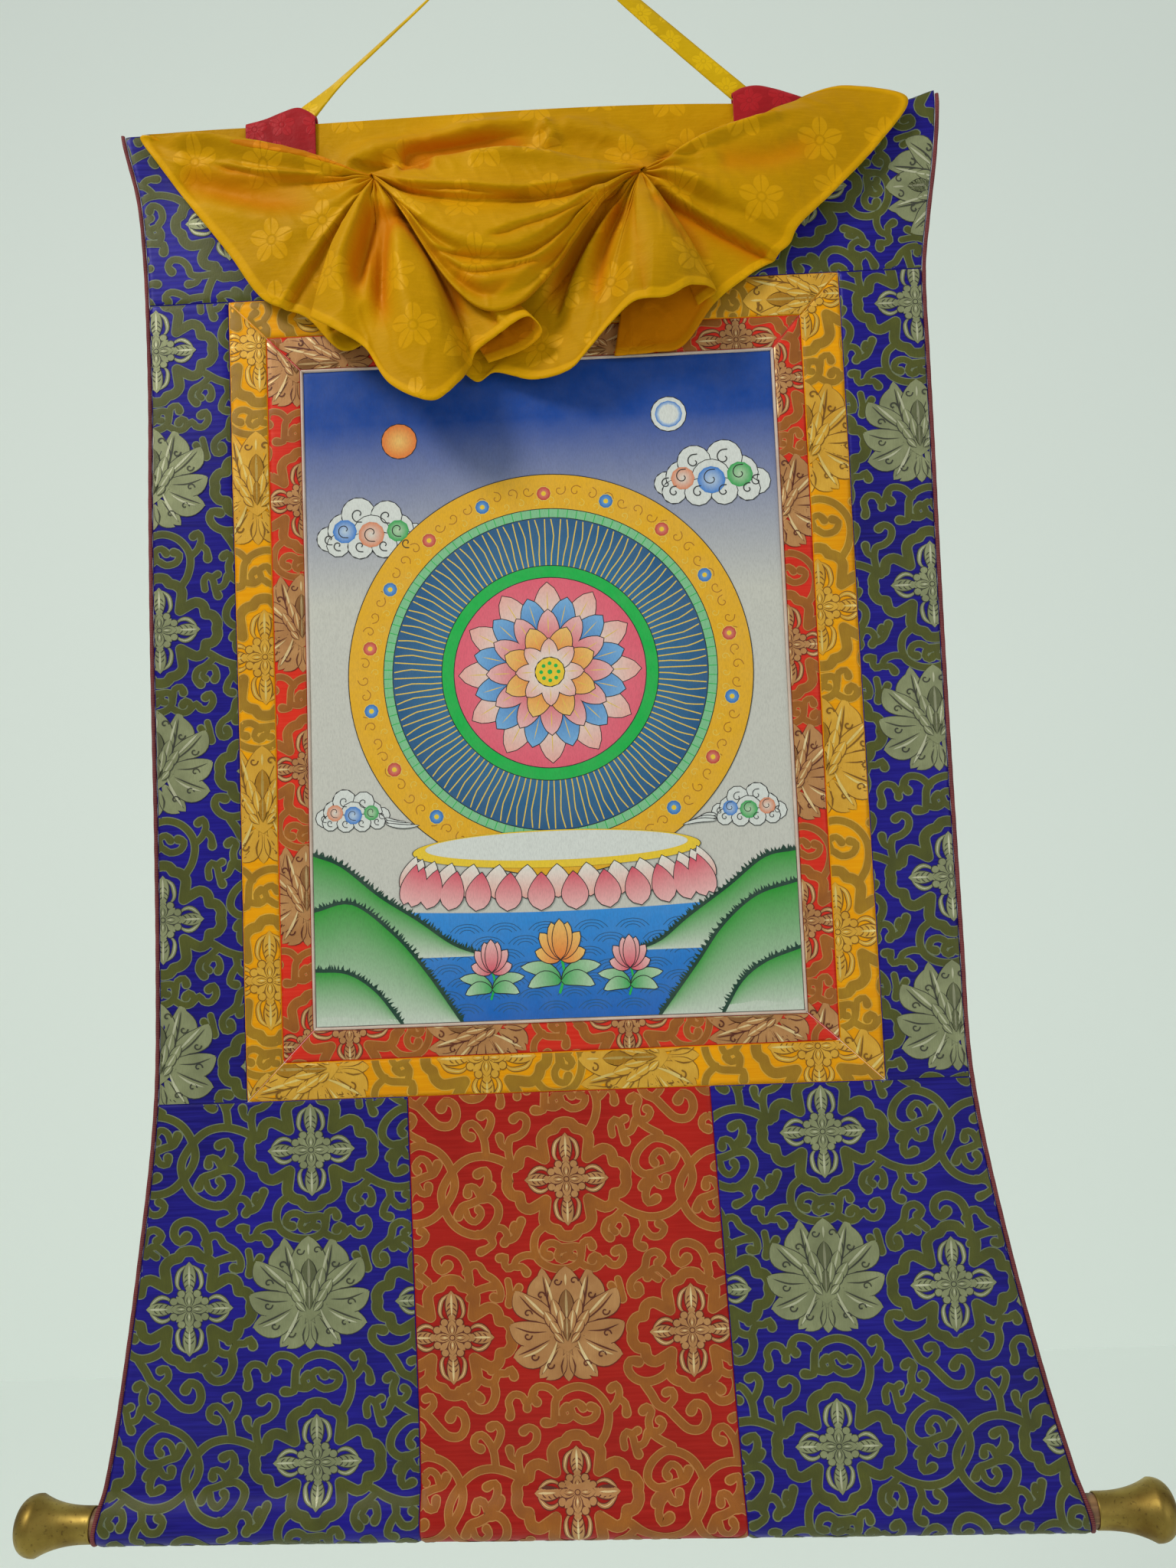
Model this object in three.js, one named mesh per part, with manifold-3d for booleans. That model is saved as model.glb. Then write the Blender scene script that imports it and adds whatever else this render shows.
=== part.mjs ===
import * as THREE from 'three';
import Module from 'manifold-3d';
import { mergeVertices } from 'three/addons/utils/BufferGeometryUtils.js';

// A thangka: a painted canvas in red and gold silk borders on a blue brocade scroll,
// hung by a ribbon loop, with its silk veil gathered up and a brass-tipped rod in its foot.
// Millimetres, +Z up. The face looks along -Y and the origin is where the loop hangs.
// Depths named "out" are measured forwards, from the plane Y = 0 towards -Y.

const wasm = await Module();
wasm.setup();

const gap = 0.3; // left between pieces that are sewn edge to edge
const clothThickness = 2; // brocade with its backing
const veilThickness = 1.2;

const headingFoot = -261;
const borderFoot = -787;
const bindingWidth = 2.6;
const bindingGap = 0.5; // between a panel's curved edge and its binding
const bindingThickness = 2.8;
const bindingSteps = 48;
const trimWidth = 1.6;
const mitreDraw = 1.4; // how far a strip's end is drawn back for each gap, as the mitre is at 45 degrees

// Corners of the canvas and of the two mitred borders round it.
const canvasCorners = { left: -155, right: 155, top: -312, foot: -742 };
const redCorners = {
  topLeft: [-179, -287], topRight: [175.5, -289], footRight: [176, -761.5], footLeft: [-176.5, -763.5],
};
const goldCorners = {
  topLeft: [-204, headingFoot], topRight: [202, headingFoot],
  footRight: [203, borderFoot], footLeft: [-200, borderFoot],
};

// The scroll's outer edges, wider at the head and wider still at the foot.
const sideEdges = [
  { z: -130, left: -276, right: 274 },
  { z: -150, left: -273, right: 274.5 },
  { z: -186, left: -265, right: 271 },
  { z: -225, left: -261.5, right: 265 },
  { z: -261, left: -260, right: 260 },
  { z: -320, left: -259, right: 259 },
  { z: -520, left: -259.5, right: 257.5 },
  { z: -700, left: -258, right: 257 },
  { z: -787, left: -260, right: 258.5 },
  { z: -888, left: -272, right: 274 },
  { z: -989, left: -288, right: 296 },
  { z: -1041, left: -298, right: 309 },
  { z: -1075, left: -302, right: 316 },
];
const headingTop = [
  { x: -280, z: -145 },
  { x: -240, z: -141.5 },
  { x: -140, z: -140.5 },
  { x: 0, z: -138.5 },
  { x: 90, z: -139.5 },
  { x: 180, z: -144 },
  { x: 240, z: -147 },
  { x: 280, z: -138 },
];
const headCornerHeight = -143;
const lowerSeams = { leftTop: -98, leftFoot: -96, rightTop: 93, rightFoot: 103 };

// The rod lies in a hem along the foot and sinks a little to the right.
const rodRadius = 9.5;
const rodHeight = -1045.4;
const rodSink = 0.0128;
const rodEnds = { left: -318, right: 332 };
const hemInner = 9.8;
const hemWall = 1.8;
const hemRise = 26; // from the rod's axis up to where the hem is stitched shut
const hemSteps = 6;
const finSteps = 12;
const hemTip = 21; // the top of the tunnel inside
const finFoot = 21.6; // where the single cloth above ends inside the stitched hem
const knobNeckRadius = 10.6;
const knobRimRadius = 17.8;
const knobMouths = { left: -300, right: 314.6 };

const ribbonWidth = 13;
const ribbonThickness = 1.2;

const colours = {
  blue: 0x23198c, red: 0xaf1e19, innerRed: 0xc32d23, gold: 0xd78c14, canvas: 0x3d6fb0, trim: 0xe0c8b8,
  binding: 0x8c4a4e, veil: 0xc8a00a, tab: 0xa52328, ribbon: 0xd2aa00, wood: 0x8a6239, brass: 0x82693a,
};

function cloth(colour) {
  return new THREE.MeshStandardMaterial({ color: colour, roughness: 0.75, metalness: 0 });
}

// Reads a smooth value from a table: the rows' "key" column places them and "column" is read.
function readTable(rows, key, at, column) {
  const rising = rows[rows.length - 1][key] > rows[0][key];
  const order = rising ? rows : [...rows].reverse();
  const last = order.length - 1;
  let index = 0;
  while (index < last - 1 && at > order[index + 1][key]) index += 1;
  const before = order[Math.max(index - 1, 0)];
  const low = order[index];
  const high = order[index + 1];
  const after = order[Math.min(index + 2, last)];
  const share = THREE.MathUtils.clamp((at - low[key]) / (high[key] - low[key]), 0, 1);
  const lowSlope = (high[column] - before[column]) / (high[key] - before[key]);
  const highSlope = (after[column] - low[column]) / (after[key] - low[key]);
  const span = high[key] - low[key];
  const square = share * share;
  const cube = square * share;
  return (2 * cube - 3 * square + 1) * low[column] + (cube - 2 * square + share) * span * lowSlope
    + (3 * square - 2 * cube) * high[column] + (cube - square) * span * highSlope;
}

function smooth(low, high, value) {
  return THREE.MathUtils.smoothstep(value, low, high);
}

// Gentle waves of the hanging scroll, in millimetres forwards.
function wave(x, z) {
  const below = 1 - smooth(-1000, -830, z);
  const besideRod = smooth(-1030, -960, z);
  const foot = 3 * Math.sin((x + 60) / 34) * below * besideRod;
  const middle = 1.2 * Math.sin((x - z) / 70) * smooth(-820, -700, z) * (1 - smooth(-420, -330, z));
  const corner = 3.5 * smooth(240, 280, Math.abs(x)) * smooth(-230, -150, z);
  return foot + middle + corner;
}

function rodAxis(x) {
  return rodHeight - rodSink * x;
}

// A closed solid from two facing grids of points, given as functions of across and down (0 to 1).
function gridSolid(front, back, acrossSteps, downSteps) {
  const positions = [];
  const index = [];
  const columns = acrossSteps + 1;
  const layer = columns * (downSteps + 1);
  for (const side of [front, back]) {
    for (let row = 0; row <= downSteps; row += 1) {
      for (let column = 0; column <= acrossSteps; column += 1) {
        positions.push(...side(column / acrossSteps, row / downSteps));
      }
    }
  }
  const quad = (a, b, c, d) => index.push(a, b, c, a, c, d);
  const at = (column, row) => row * columns + column;
  for (let row = 0; row < downSteps; row += 1) {
    for (let column = 0; column < acrossSteps; column += 1) {
      const a = at(column, row);
      const b = at(column + 1, row);
      const c = at(column + 1, row + 1);
      const d = at(column, row + 1);
      quad(a, d, c, b);
      quad(a + layer, b + layer, c + layer, d + layer);
    }
  }
  for (let column = 0; column < acrossSteps; column += 1) {
    const top = at(column, 0);
    const foot = at(column, downSteps);
    quad(top, top + 1, top + 1 + layer, top + layer);
    quad(foot, foot + layer, foot + 1 + layer, foot + 1);
  }
  for (let row = 0; row < downSteps; row += 1) {
    const left = at(0, row);
    const right = at(acrossSteps, row);
    quad(left, left + layer, left + columns + layer, left + columns);
    quad(right, right + columns, right + columns + layer, right + layer);
  }
  const geometry = new THREE.BufferGeometry();
  geometry.setAttribute('position', new THREE.Float32BufferAttribute(positions, 3));
  geometry.setIndex(index);
  return faceOutwards(geometry);
}

function faceOutwards(geometry) {
  const points = geometry.attributes.position;
  const index = geometry.index.array;
  const corners = [new THREE.Vector3(), new THREE.Vector3(), new THREE.Vector3()];
  let volume = 0;
  for (let face = 0; face < index.length; face += 3) {
    corners.forEach((corner, i) => corner.fromBufferAttribute(points, index[face + i]));
    volume += corners[0].dot(corners[1].clone().cross(corners[2]));
  }
  if (volume < 0) {
    for (let face = 0; face < index.length; face += 3) {
      [index[face + 1], index[face + 2]] = [index[face + 2], index[face + 1]];
    }
  }
  geometry.computeVertexNormals();
  return geometry;
}

// A flat piece of the scroll, from a function that places it in X and Z, riding on the waves.
function panelGeometry(place, acrossSteps, downSteps, thickness = clothThickness) {
  const face = (side) => (across, down) => {
    const [x, z] = place(across, down);
    return [x, side * thickness / 2 - wave(x, z), z];
  };
  return gridSolid(face(-1), face(1), acrossSteps, downSteps);
}

function piece(name, geometry, material) {
  const mesh = new THREE.Mesh(geometry, material);
  mesh.name = name;
  return mesh;
}

// Three.js geometry to a manifold solid and back, for joining and cutting.
function toSolid(geometry) {
  const bare = geometry.clone();
  bare.deleteAttribute('normal');
  bare.deleteAttribute('uv');
  const merged = mergeVertices(bare, 1e-4);
  return new wasm.Manifold(new wasm.Mesh({
    numProp: 3,
    vertProperties: new Float32Array(merged.attributes.position.array),
    triVerts: new Uint32Array(merged.index.array),
  }));
}

function toGeometry(solid) {
  const mesh = solid.getMesh();
  const geometry = new THREE.BufferGeometry();
  geometry.setAttribute('position', new THREE.Float32BufferAttribute(mesh.vertProperties, 3));
  geometry.setIndex([...mesh.triVerts]);
  geometry.computeVertexNormals();
  return geometry;
}

const scroll = new THREE.Group();

// ---- Heading, side panels and lower panels ----

function leftEdge(z) {
  return readTable(sideEdges, 'z', z, 'left') + bindingWidth + bindingGap;
}

function rightEdge(z) {
  return readTable(sideEdges, 'z', z, 'right') - bindingWidth - bindingGap;
}

function topEdge(x) {
  return readTable(headingTop, 'x', x, 'z');
}

function headingPlace(across, down) {
  const roughX = THREE.MathUtils.lerp(-270, 270, across);
  const z = THREE.MathUtils.lerp(topEdge(roughX), headingFoot + gap / 2, down);
  return [THREE.MathUtils.lerp(leftEdge(z), rightEdge(z), across), z];
}

function sidePlace(side) {
  return (across, down) => {
    const z = THREE.MathUtils.lerp(headingFoot - gap / 2, borderFoot + gap / 2, down);
    if (side === 'left') {
      const seam = THREE.MathUtils.lerp(goldCorners.topLeft[0], goldCorners.footLeft[0], down) - gap / 2;
      return [THREE.MathUtils.lerp(leftEdge(z), seam, across), z];
    }
    const seam = THREE.MathUtils.lerp(goldCorners.topRight[0], goldCorners.footRight[0], down) + gap / 2;
    return [THREE.MathUtils.lerp(seam, rightEdge(z), across), z];
  };
}

const blueCloth = cloth(colours.blue);
scroll.add(piece('heading_panel', panelGeometry(headingPlace, 16, 8), blueCloth));
scroll.add(piece('side_panel_left', panelGeometry(sidePlace('left'), 4, 18), blueCloth));
scroll.add(piece('side_panel_right', panelGeometry(sidePlace('right'), 4, 18), blueCloth));

// The hem's wall in section: a circle round the rod drawn up to a point at its stitched top.
function dropOutline(radius, tip) {
  const meet = Math.asin(radius / tip);
  const turnSteps = 12;
  const points = [new THREE.Vector2(0, tip)];
  for (let step = 0; step <= turnSteps; step += 1) {
    const angle = THREE.MathUtils.lerp(meet, -Math.PI - meet, step / turnSteps);
    points.push(new THREE.Vector2(-radius * Math.cos(angle), radius * Math.sin(angle)));
  }
  return points;
}

function hemGeometry(leftSeam, rightSeam, acrossSteps) {
  const section = new THREE.Shape(dropOutline(hemInner + hemWall, hemRise));
  section.holes.push(new THREE.Path(dropOutline(hemInner, hemTip)));
  const geometry = new THREE.ExtrudeGeometry(section, { depth: 1, steps: acrossSteps, bevelEnabled: false });
  geometry.deleteAttribute('normal');
  geometry.deleteAttribute('uv');
  const merged = mergeVertices(geometry, 1e-5);
  const points = merged.attributes.position;
  for (let i = 0; i < points.count; i += 1) {
    const share = points.getZ(i);
    const roughX = THREE.MathUtils.lerp(leftSeam(rodHeight), rightSeam(rodHeight), share);
    const z = rodAxis(roughX) + points.getY(i);
    points.setXYZ(i, THREE.MathUtils.lerp(leftSeam(z), rightSeam(z), share), points.getX(i), z);
  }
  return faceOutwards(merged);
}

function lowerPanel(leftSeam, rightSeam, acrossSteps) {
  const place = (across, down) => {
    const roughZ = THREE.MathUtils.lerp(borderFoot - gap / 2, rodHeight + finFoot, down);
    const roughX = THREE.MathUtils.lerp(leftSeam(roughZ), rightSeam(roughZ), across);
    const z = roughZ + (rodAxis(roughX) - rodHeight) * down;
    return [THREE.MathUtils.lerp(leftSeam(z), rightSeam(z), across), z];
  };
  const fin = toSolid(panelGeometry(place, acrossSteps, finSteps));
  return toGeometry(fin.add(toSolid(hemGeometry(leftSeam, rightSeam, hemSteps))));
}

function lowerSeam(topX, footX, shift) {
  return (z) => THREE.MathUtils.mapLinear(z, borderFoot, rodHeight, topX, footX) + shift;
}

const { leftTop, leftFoot, rightTop, rightFoot } = lowerSeams;
const leftPanel = lowerPanel(leftEdge, lowerSeam(leftTop, leftFoot, -gap / 2), 9);
const middlePanel = lowerPanel(
  lowerSeam(leftTop, leftFoot, gap / 2), lowerSeam(rightTop, rightFoot, -gap / 2), 9,
);
const rightPanel = lowerPanel(lowerSeam(rightTop, rightFoot, gap / 2), rightEdge, 9);
scroll.add(piece('lower_panel_left', leftPanel, blueCloth));
scroll.add(piece('lower_panel_middle', middlePanel, cloth(colours.red)));
scroll.add(piece('lower_panel_right', rightPanel, blueCloth));

// ---- Mitred borders, trim and canvas ----

// One strip of a mitred frame between an outer and an inner pair of corners.
function stripPlace(outerA, outerB, innerA, innerB) {
  const outer = [new THREE.Vector2(...outerA), new THREE.Vector2(...outerB)];
  const inner = [new THREE.Vector2(...innerA), new THREE.Vector2(...innerB)];
  const lengthways = outer[1].clone().sub(outer[0]).normalize();
  const inwards = new THREE.Vector2(-lengthways.y, lengthways.x);
  if (inwards.dot(inner[0].clone().sub(outer[0])) < 0) inwards.negate();
  return (across, down) => {
    const a = outer[0].clone().lerp(inner[0], down);
    const b = outer[1].clone().lerp(inner[1], down);
    const point = a.clone().lerp(b, across);
    point.addScaledVector(lengthways, mitreDraw * THREE.MathUtils.lerp(gap / 2, -gap / 2, across));
    point.addScaledVector(inwards, THREE.MathUtils.lerp(gap / 2, -gap / 2, down));
    return [point.x, point.y];
  };
}

function mitredFrame(name, outer, inner, material) {
  const sides = [
    ['top', 'topLeft', 'topRight'],
    ['right', 'topRight', 'footRight'],
    ['foot', 'footRight', 'footLeft'],
    ['left', 'footLeft', 'topLeft'],
  ];
  for (const [side, start, end] of sides) {
    const place = stripPlace(outer[start], outer[end], inner[start], inner[end]);
    const lengthSteps = side === 'top' || side === 'foot' ? 12 : 16;
    scroll.add(piece(`${name}_${side}`, panelGeometry(place, lengthSteps, 1), material));
  }
}

function rectangle({ left, right, top, foot }, grow) {
  return {
    topLeft: [left - grow, top + grow],
    topRight: [right + grow, top + grow],
    footRight: [right + grow, foot - grow],
    footLeft: [left - grow, foot - grow],
  };
}

const trimOuter = rectangle(canvasCorners, trimWidth);
const canvasOuter = rectangle(canvasCorners, 0);
mitredFrame('gold_border', goldCorners, redCorners, cloth(colours.gold));
mitredFrame('red_border', redCorners, trimOuter, cloth(colours.innerRed));
mitredFrame('canvas_trim', trimOuter, canvasOuter, cloth(colours.trim));

function canvasPlace(across, down) {
  const { left, right, top, foot } = canvasCorners;
  const edge = gap / 2;
  const x = THREE.MathUtils.lerp(left + edge, right - edge, across);
  return [x, THREE.MathUtils.lerp(top - edge, foot + edge, down)];
}

scroll.add(piece('painting_canvas', panelGeometry(canvasPlace, 10, 14), cloth(colours.canvas)));

// ---- Side bindings: a strip down each edge that ends in a ring round the hem's mouth ----

function bindingGeometry(side) {
  const sign = side === 'left' ? 1 : -1;
  const outer = (z) => readTable(sideEdges, 'z', z, side);
  const inner = (z) => outer(z) + sign * bindingWidth;
  const strip = panelGeometry((across, down) => {
    const headZ = topEdge(outer(headCornerHeight));
    const footZ = rodAxis(outer(rodHeight)) + finFoot;
    const z = THREE.MathUtils.lerp(headZ, footZ, down);
    return [THREE.MathUtils.lerp(outer(z), inner(z), across), z];
  }, 1, bindingSteps, bindingThickness);
  const ring = side === 'left' ? hemGeometry(outer, inner, 1) : hemGeometry(inner, outer, 1);
  return toGeometry(toSolid(strip).add(toSolid(ring)));
}

for (const side of ['left', 'right']) {
  scroll.add(piece(`edge_binding_${side}`, bindingGeometry(side), cloth(colours.binding)));
}

// ---- Rod and brass knobs ----

const rodDirection = new THREE.Vector3(1, 0, -rodSink).normalize();
const rodLength = (rodEnds.right - rodEnds.left) / rodDirection.x;
const rodMiddle = (rodEnds.left + rodEnds.right) / 2;
const rodTurn = new THREE.Quaternion().setFromUnitVectors(new THREE.Vector3(0, 1, 0), rodDirection);
const rod = piece(
  'weight_rod', new THREE.CylinderGeometry(rodRadius, rodRadius, rodLength, 40),
  new THREE.MeshStandardMaterial({ color: colours.wood, roughness: 0.6, metalness: 0 }),
);
rod.quaternion.copy(rodTurn);
rod.position.set(rodMiddle, 0, rodAxis(rodMiddle));
scroll.add(rod);

// The knob's section from its mouth outwards: a socket for the rod, a flare, a rim and a low dome.
function knobGeometry() {
  const profile = [];
  const boreRadius = rodRadius + gap;
  const boreDepth = 19.5;
  const flareLength = 35;
  const domeLength = 12.5;
  profile.push(new THREE.Vector2(0, boreDepth));
  profile.push(new THREE.Vector2(boreRadius, boreDepth));
  profile.push(new THREE.Vector2(boreRadius, 0));
  profile.push(new THREE.Vector2(knobNeckRadius, 0));
  const flareSteps = 7;
  for (let step = 1; step <= flareSteps; step += 1) {
    const along = step / flareSteps;
    const flare = (knobRimRadius - knobNeckRadius) * along ** 2.6;
    profile.push(new THREE.Vector2(knobNeckRadius + flare, flareLength * along));
  }
  const domeSteps = 5;
  for (let step = 1; step < domeSteps; step += 1) {
    const angle = (step / domeSteps) * Math.PI / 2;
    const radius = knobRimRadius * Math.cos(angle) ** 0.62;
    profile.push(new THREE.Vector2(radius, flareLength + 0.8 + (domeLength - 0.8) * Math.sin(angle)));
  }
  profile.push(new THREE.Vector2(0, flareLength + domeLength));
  return new THREE.LatheGeometry(profile, 24);
}

const brass = new THREE.MeshStandardMaterial({ color: colours.brass, roughness: 0.35, metalness: 1 });
for (const side of ['left', 'right']) {
  const outwards = rodDirection.clone().multiplyScalar(side === 'left' ? -1 : 1);
  const mouth = knobMouths[side];
  const knob = piece(`brass_knob_${side}`, knobGeometry(), brass);
  knob.quaternion.setFromUnitVectors(new THREE.Vector3(0, 1, 0), outwards);
  knob.position.set(mouth, 0, rodAxis(mouth));
  scroll.add(knob);
}

// ---- Hanging ribbon ----

// The ribbon's centre line from inside the left tab over the hook to inside the right tab,
// with its turn about that line: 0 shows its flat face, 90 shows its edge.
const ribbonRoute = [
  { x: -173, y: 2, z: -153, turn: 0 },
  { x: -161, y: 2, z: -142, turn: 0 },
  { x: -150, y: 1.9, z: -132, turn: 6 },
  { x: -139, y: 1.4, z: -122, turn: 28 },
  { x: -123, y: 0.8, z: -107.5, turn: 46 },
  { x: -92, y: 0.4, z: -80, turn: 52 },
  { x: -60, y: 0, z: -51.5, turn: 58 },
  { x: -36, y: 0, z: -29, turn: 72 },
  { x: -19, y: 0, z: -13, turn: 84 },
  { x: -9, y: 0, z: -3.6, turn: 90 },
  { x: 0, y: 0, z: 0.6, turn: 90 },
  { x: 9, y: 0, z: -3.6, turn: 90 },
  { x: 19, y: 0, z: -13, turn: 76 },
  { x: 36, y: 0, z: -29.5, turn: 44 },
  { x: 62, y: 0, z: -53.5, turn: 22 },
  { x: 92, y: 0.6, z: -83, turn: 10 },
  { x: 122, y: 1.4, z: -112, turn: 4 },
  { x: 141, y: 2, z: -130, turn: 0 },
  { x: 153, y: 2, z: -142, turn: 0 },
  { x: 163, y: 2, z: -153, turn: 0 },
];

function ribbonGeometry(width, thickness, steps) {
  const route = new THREE.CatmullRomCurve3(ribbonRoute.map(({ x, y, z }) => new THREE.Vector3(x, y, z)));
  const section = new THREE.Shape();
  section.moveTo(-width / 2, -thickness / 2);
  section.lineTo(width / 2, -thickness / 2);
  section.lineTo(width / 2, thickness / 2);
  section.lineTo(-width / 2, thickness / 2);
  const geometry = new THREE.ExtrudeGeometry(section, { depth: 1, steps, bevelEnabled: false });
  geometry.deleteAttribute('normal');
  geometry.deleteAttribute('uv');
  const merged = mergeVertices(geometry, 1e-6);
  const points = merged.attributes.position;
  for (let i = 0; i < points.count; i += 1) {
    const share = points.getZ(i);
    const centre = route.getPoint(share);
    const along = route.getTangent(share);
    const turn = THREE.MathUtils.degToRad(ribbonTurn(share));
    const upright = new THREE.Vector3(-along.z, 0, along.x).normalize();
    const wide = upright.clone().multiplyScalar(Math.cos(turn)).add(new THREE.Vector3(0, Math.sin(turn), 0));
    const thin = new THREE.Vector3().crossVectors(along, wide).normalize();
    centre.addScaledVector(wide, points.getX(i)).addScaledVector(thin, points.getY(i));
    points.setXYZ(i, centre.x, centre.y, centre.z);
  }
  return faceOutwards(merged);
}

function ribbonTurn(share) {
  const last = ribbonRoute.length - 1;
  const rows = ribbonRoute.map((row, index) => ({ share: index / last, turn: row.turn }));
  return readTable(rows, 'share', share, 'turn');
}

scroll.add(piece('hanging_ribbon', ribbonGeometry(ribbonWidth, ribbonThickness, 56), cloth(colours.ribbon)));

// ---- Tabs: brocade folded over the head of the scroll, holding the ribbon's ends ----

const tabShapes = {
  left: [
    { x: -189, top: -138, foot: -158 },
    { x: -176, top: -135, foot: -160.5 },
    { x: -164, top: -130.5, foot: -163 },
    { x: -154, top: -128, foot: -165 },
    { x: -147, top: -131, foot: -166.5 },
    { x: -142, top: -135, foot: -167.5 },
  ],
  right: [
    { x: 138, top: -134, foot: -162 },
    { x: 145, top: -130.5, foot: -162 },
    { x: 155, top: -129.5, foot: -162 },
    { x: 165, top: -132, foot: -162 },
    { x: 176, top: -136, foot: -162 },
    { x: 186, top: -140, foot: -162 },
  ],
};
const tabThickness = 1.4;
const tabInside = { front: -3.6, back: 2.9 };

// A tab in section is an arch over the scroll's edge: front leaf, crown and back leaf.
function tabGeometry(side) {
  const rows = tabShapes[side];
  const ribbonRoom = toSolid(ribbonGeometry(ribbonWidth + 2 * gap, ribbonThickness + 2 * gap, 60));
  const leafSteps = 2;
  const crownSteps = 6;
  const point = (inset) => (across, down) => {
    const x = THREE.MathUtils.lerp(rows[0].x, rows[rows.length - 1].x, across);
    const top = readTable(rows, 'x', x, 'top') - inset;
    const foot = readTable(rows, 'x', x, 'foot');
    const front = tabInside.front - tabThickness + inset;
    const back = tabInside.back + tabThickness - inset;
    const radius = (back - front) / 2;
    const middle = (back + front) / 2;
    const leafShare = leafSteps / (2 * leafSteps + crownSteps);
    const spring = top - radius;
    if (down < leafShare) return [x, front, THREE.MathUtils.lerp(foot, spring, down / leafShare)];
    if (down > 1 - leafShare) {
      return [x, back, THREE.MathUtils.lerp(spring, foot, (down - 1 + leafShare) / leafShare)];
    }
    const angle = Math.PI * (down - leafShare) / (1 - 2 * leafShare);
    return [x, middle - radius * Math.cos(angle), spring + radius * Math.sin(angle)];
  };
  const arch = gridSolid(point(0), point(tabThickness), 7, 2 * leafSteps + crownSteps);
  return toGeometry(toSolid(arch).subtract(ribbonRoom));
}

for (const side of ['left', 'right']) {
  scroll.add(piece(`hanging_tab_${side}`, tabGeometry(side), cloth(colours.tab)));
}

// ---- Veil: one silk cloth, caught up at two gathers into wings, flutes and a pouch ----

const gathers = {
  left: { x: -101, z: -189, out: 15 },
  right: { x: 74, z: -194, out: 15 },
};

// Each fan runs from a gather to the veil's edge. A row is one fold line: where it meets the
// edge, how far out it lies there, how far it bellies forwards and bows upwards half way.
const fans = {
  leftWing: {
    gather: gathers.left,
    rows: [
      { x: -250, z: -150, out: 7, belly: 2, bow: 3 },
      { x: -257, z: -147.5, out: 8, belly: 3, bow: 8 },
      { x: -258, z: -151, out: 6.5, belly: 0, bow: -3 },
      { x: -248, z: -166, out: 8, belly: 3, bow: -4 },
      { x: -230, z: -192, out: 8, belly: -1, bow: 0 },
      { x: -200, z: -233, out: 10, belly: 5, bow: 0 },
      { x: -178, z: -265, out: 10, belly: 5, bow: 0 },
      { x: -150, z: -278, out: 8, belly: 3, bow: 0 },
      { x: -128, z: -301, out: 7, belly: 0, bow: 0 },
      { x: -108, z: -296, out: 6, belly: -1, bow: 0 },
    ],
    acrossSteps: 22,
  },
  leftFlute: {
    gather: gathers.left,
    rows: [
      { x: -126, z: -286, out: 10, belly: 2, bow: 0 },
      { x: -144, z: -284, out: 20, belly: 8, bow: 4 },
      { x: -124, z: -299, out: 31, belly: 9, bow: 3 },
      { x: -107, z: -311, out: 30, belly: 3, bow: 2 },
      { x: -91, z: -337, out: 35, belly: 2, bow: 0 },
      { x: -64, z: -352, out: 42, belly: 8, bow: 3 },
      { x: -47, z: -339, out: 37, belly: 7, bow: 9 },
      { x: -41, z: -322, out: 20, belly: 0, bow: 9 },
      { x: -37, z: -312, out: 20, belly: -2, bow: 5 },
      { x: -21, z: -304, out: 27, belly: -4, bow: 5 },
      { x: -3, z: -295, out: 30, belly: -6, bow: 5 },
      { x: 6, z: -303, out: 24, belly: -8, bow: 5 },
      { x: -6, z: -311, out: 17, belly: -9, bow: 3 },
      { x: -30, z: -317, out: 13, belly: -6, bow: 0 },
    ],
    acrossSteps: 32,
  },
  rightFlute: {
    gather: gathers.right,
    rows: [
      { x: -62, z: -296, out: 6, belly: -3, bow: 2 },
      { x: -41, z: -326, out: 7, belly: -2, bow: 0 },
      { x: -26, z: -322, out: 9, belly: -2, bow: 0 },
      { x: -2, z: -329, out: 12, belly: -2, bow: 0 },
      { x: 21, z: -328, out: 20, belly: 2, bow: 0 },
      { x: 33, z: -319, out: 25, belly: 3, bow: 0 },
      { x: 49, z: -303, out: 29, belly: 2, bow: 2 },
      { x: 66, z: -292, out: 38, belly: 9, bow: 4 },
      { x: 86, z: -292, out: 42, belly: 12, bow: 4 },
      { x: 103, z: -283, out: 37, belly: 10, bow: 3 },
      { x: 119, z: -281, out: 23, belly: 6, bow: 2 },
      { x: 108, z: -284, out: 10, belly: 2, bow: 0 },
    ],
    acrossSteps: 24,
  },
  rightWing: {
    gather: gathers.right,
    rows: [
      { x: 52, z: -314, out: 6, belly: -1, bow: 0 },
      { x: 78, z: -313, out: 7, belly: -1, bow: 0 },
      { x: 98, z: -309, out: 8, belly: 0, bow: 0 },
      { x: 120, z: -281, out: 8, belly: 1, bow: 0 },
      { x: 146, z: -262, out: 8, belly: 1, bow: 0 },
      { x: 168, z: -247, out: 9, belly: 0, bow: 0 },
      { x: 176, z: -235, out: 14, belly: 8, bow: 2 },
      { x: 202, z: -210, out: 11, belly: 9, bow: 3 },
      { x: 234, z: -177, out: 9, belly: 7, bow: 2 },
      { x: 252, z: -149, out: 8, belly: 6, bow: 2 },
      { x: 216, z: -139, out: 9, belly: 5, bow: 3 },
      { x: 192, z: -141, out: 8, belly: 1, bow: 0 },
      { x: 172, z: -150, out: 7, belly: 0, bow: 0 },
    ],
    acrossSteps: 24,
  },
};
const fanStart = 0.04;
const fanRings = 5;
const bunchRadius = 6;

function spread(rows, share, column) {
  const last = rows.length - 1;
  const numbered = rows.map((row, index) => ({ index, value: row[column] }));
  return readTable(numbered, 'index', share * last, 'value');
}

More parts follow.
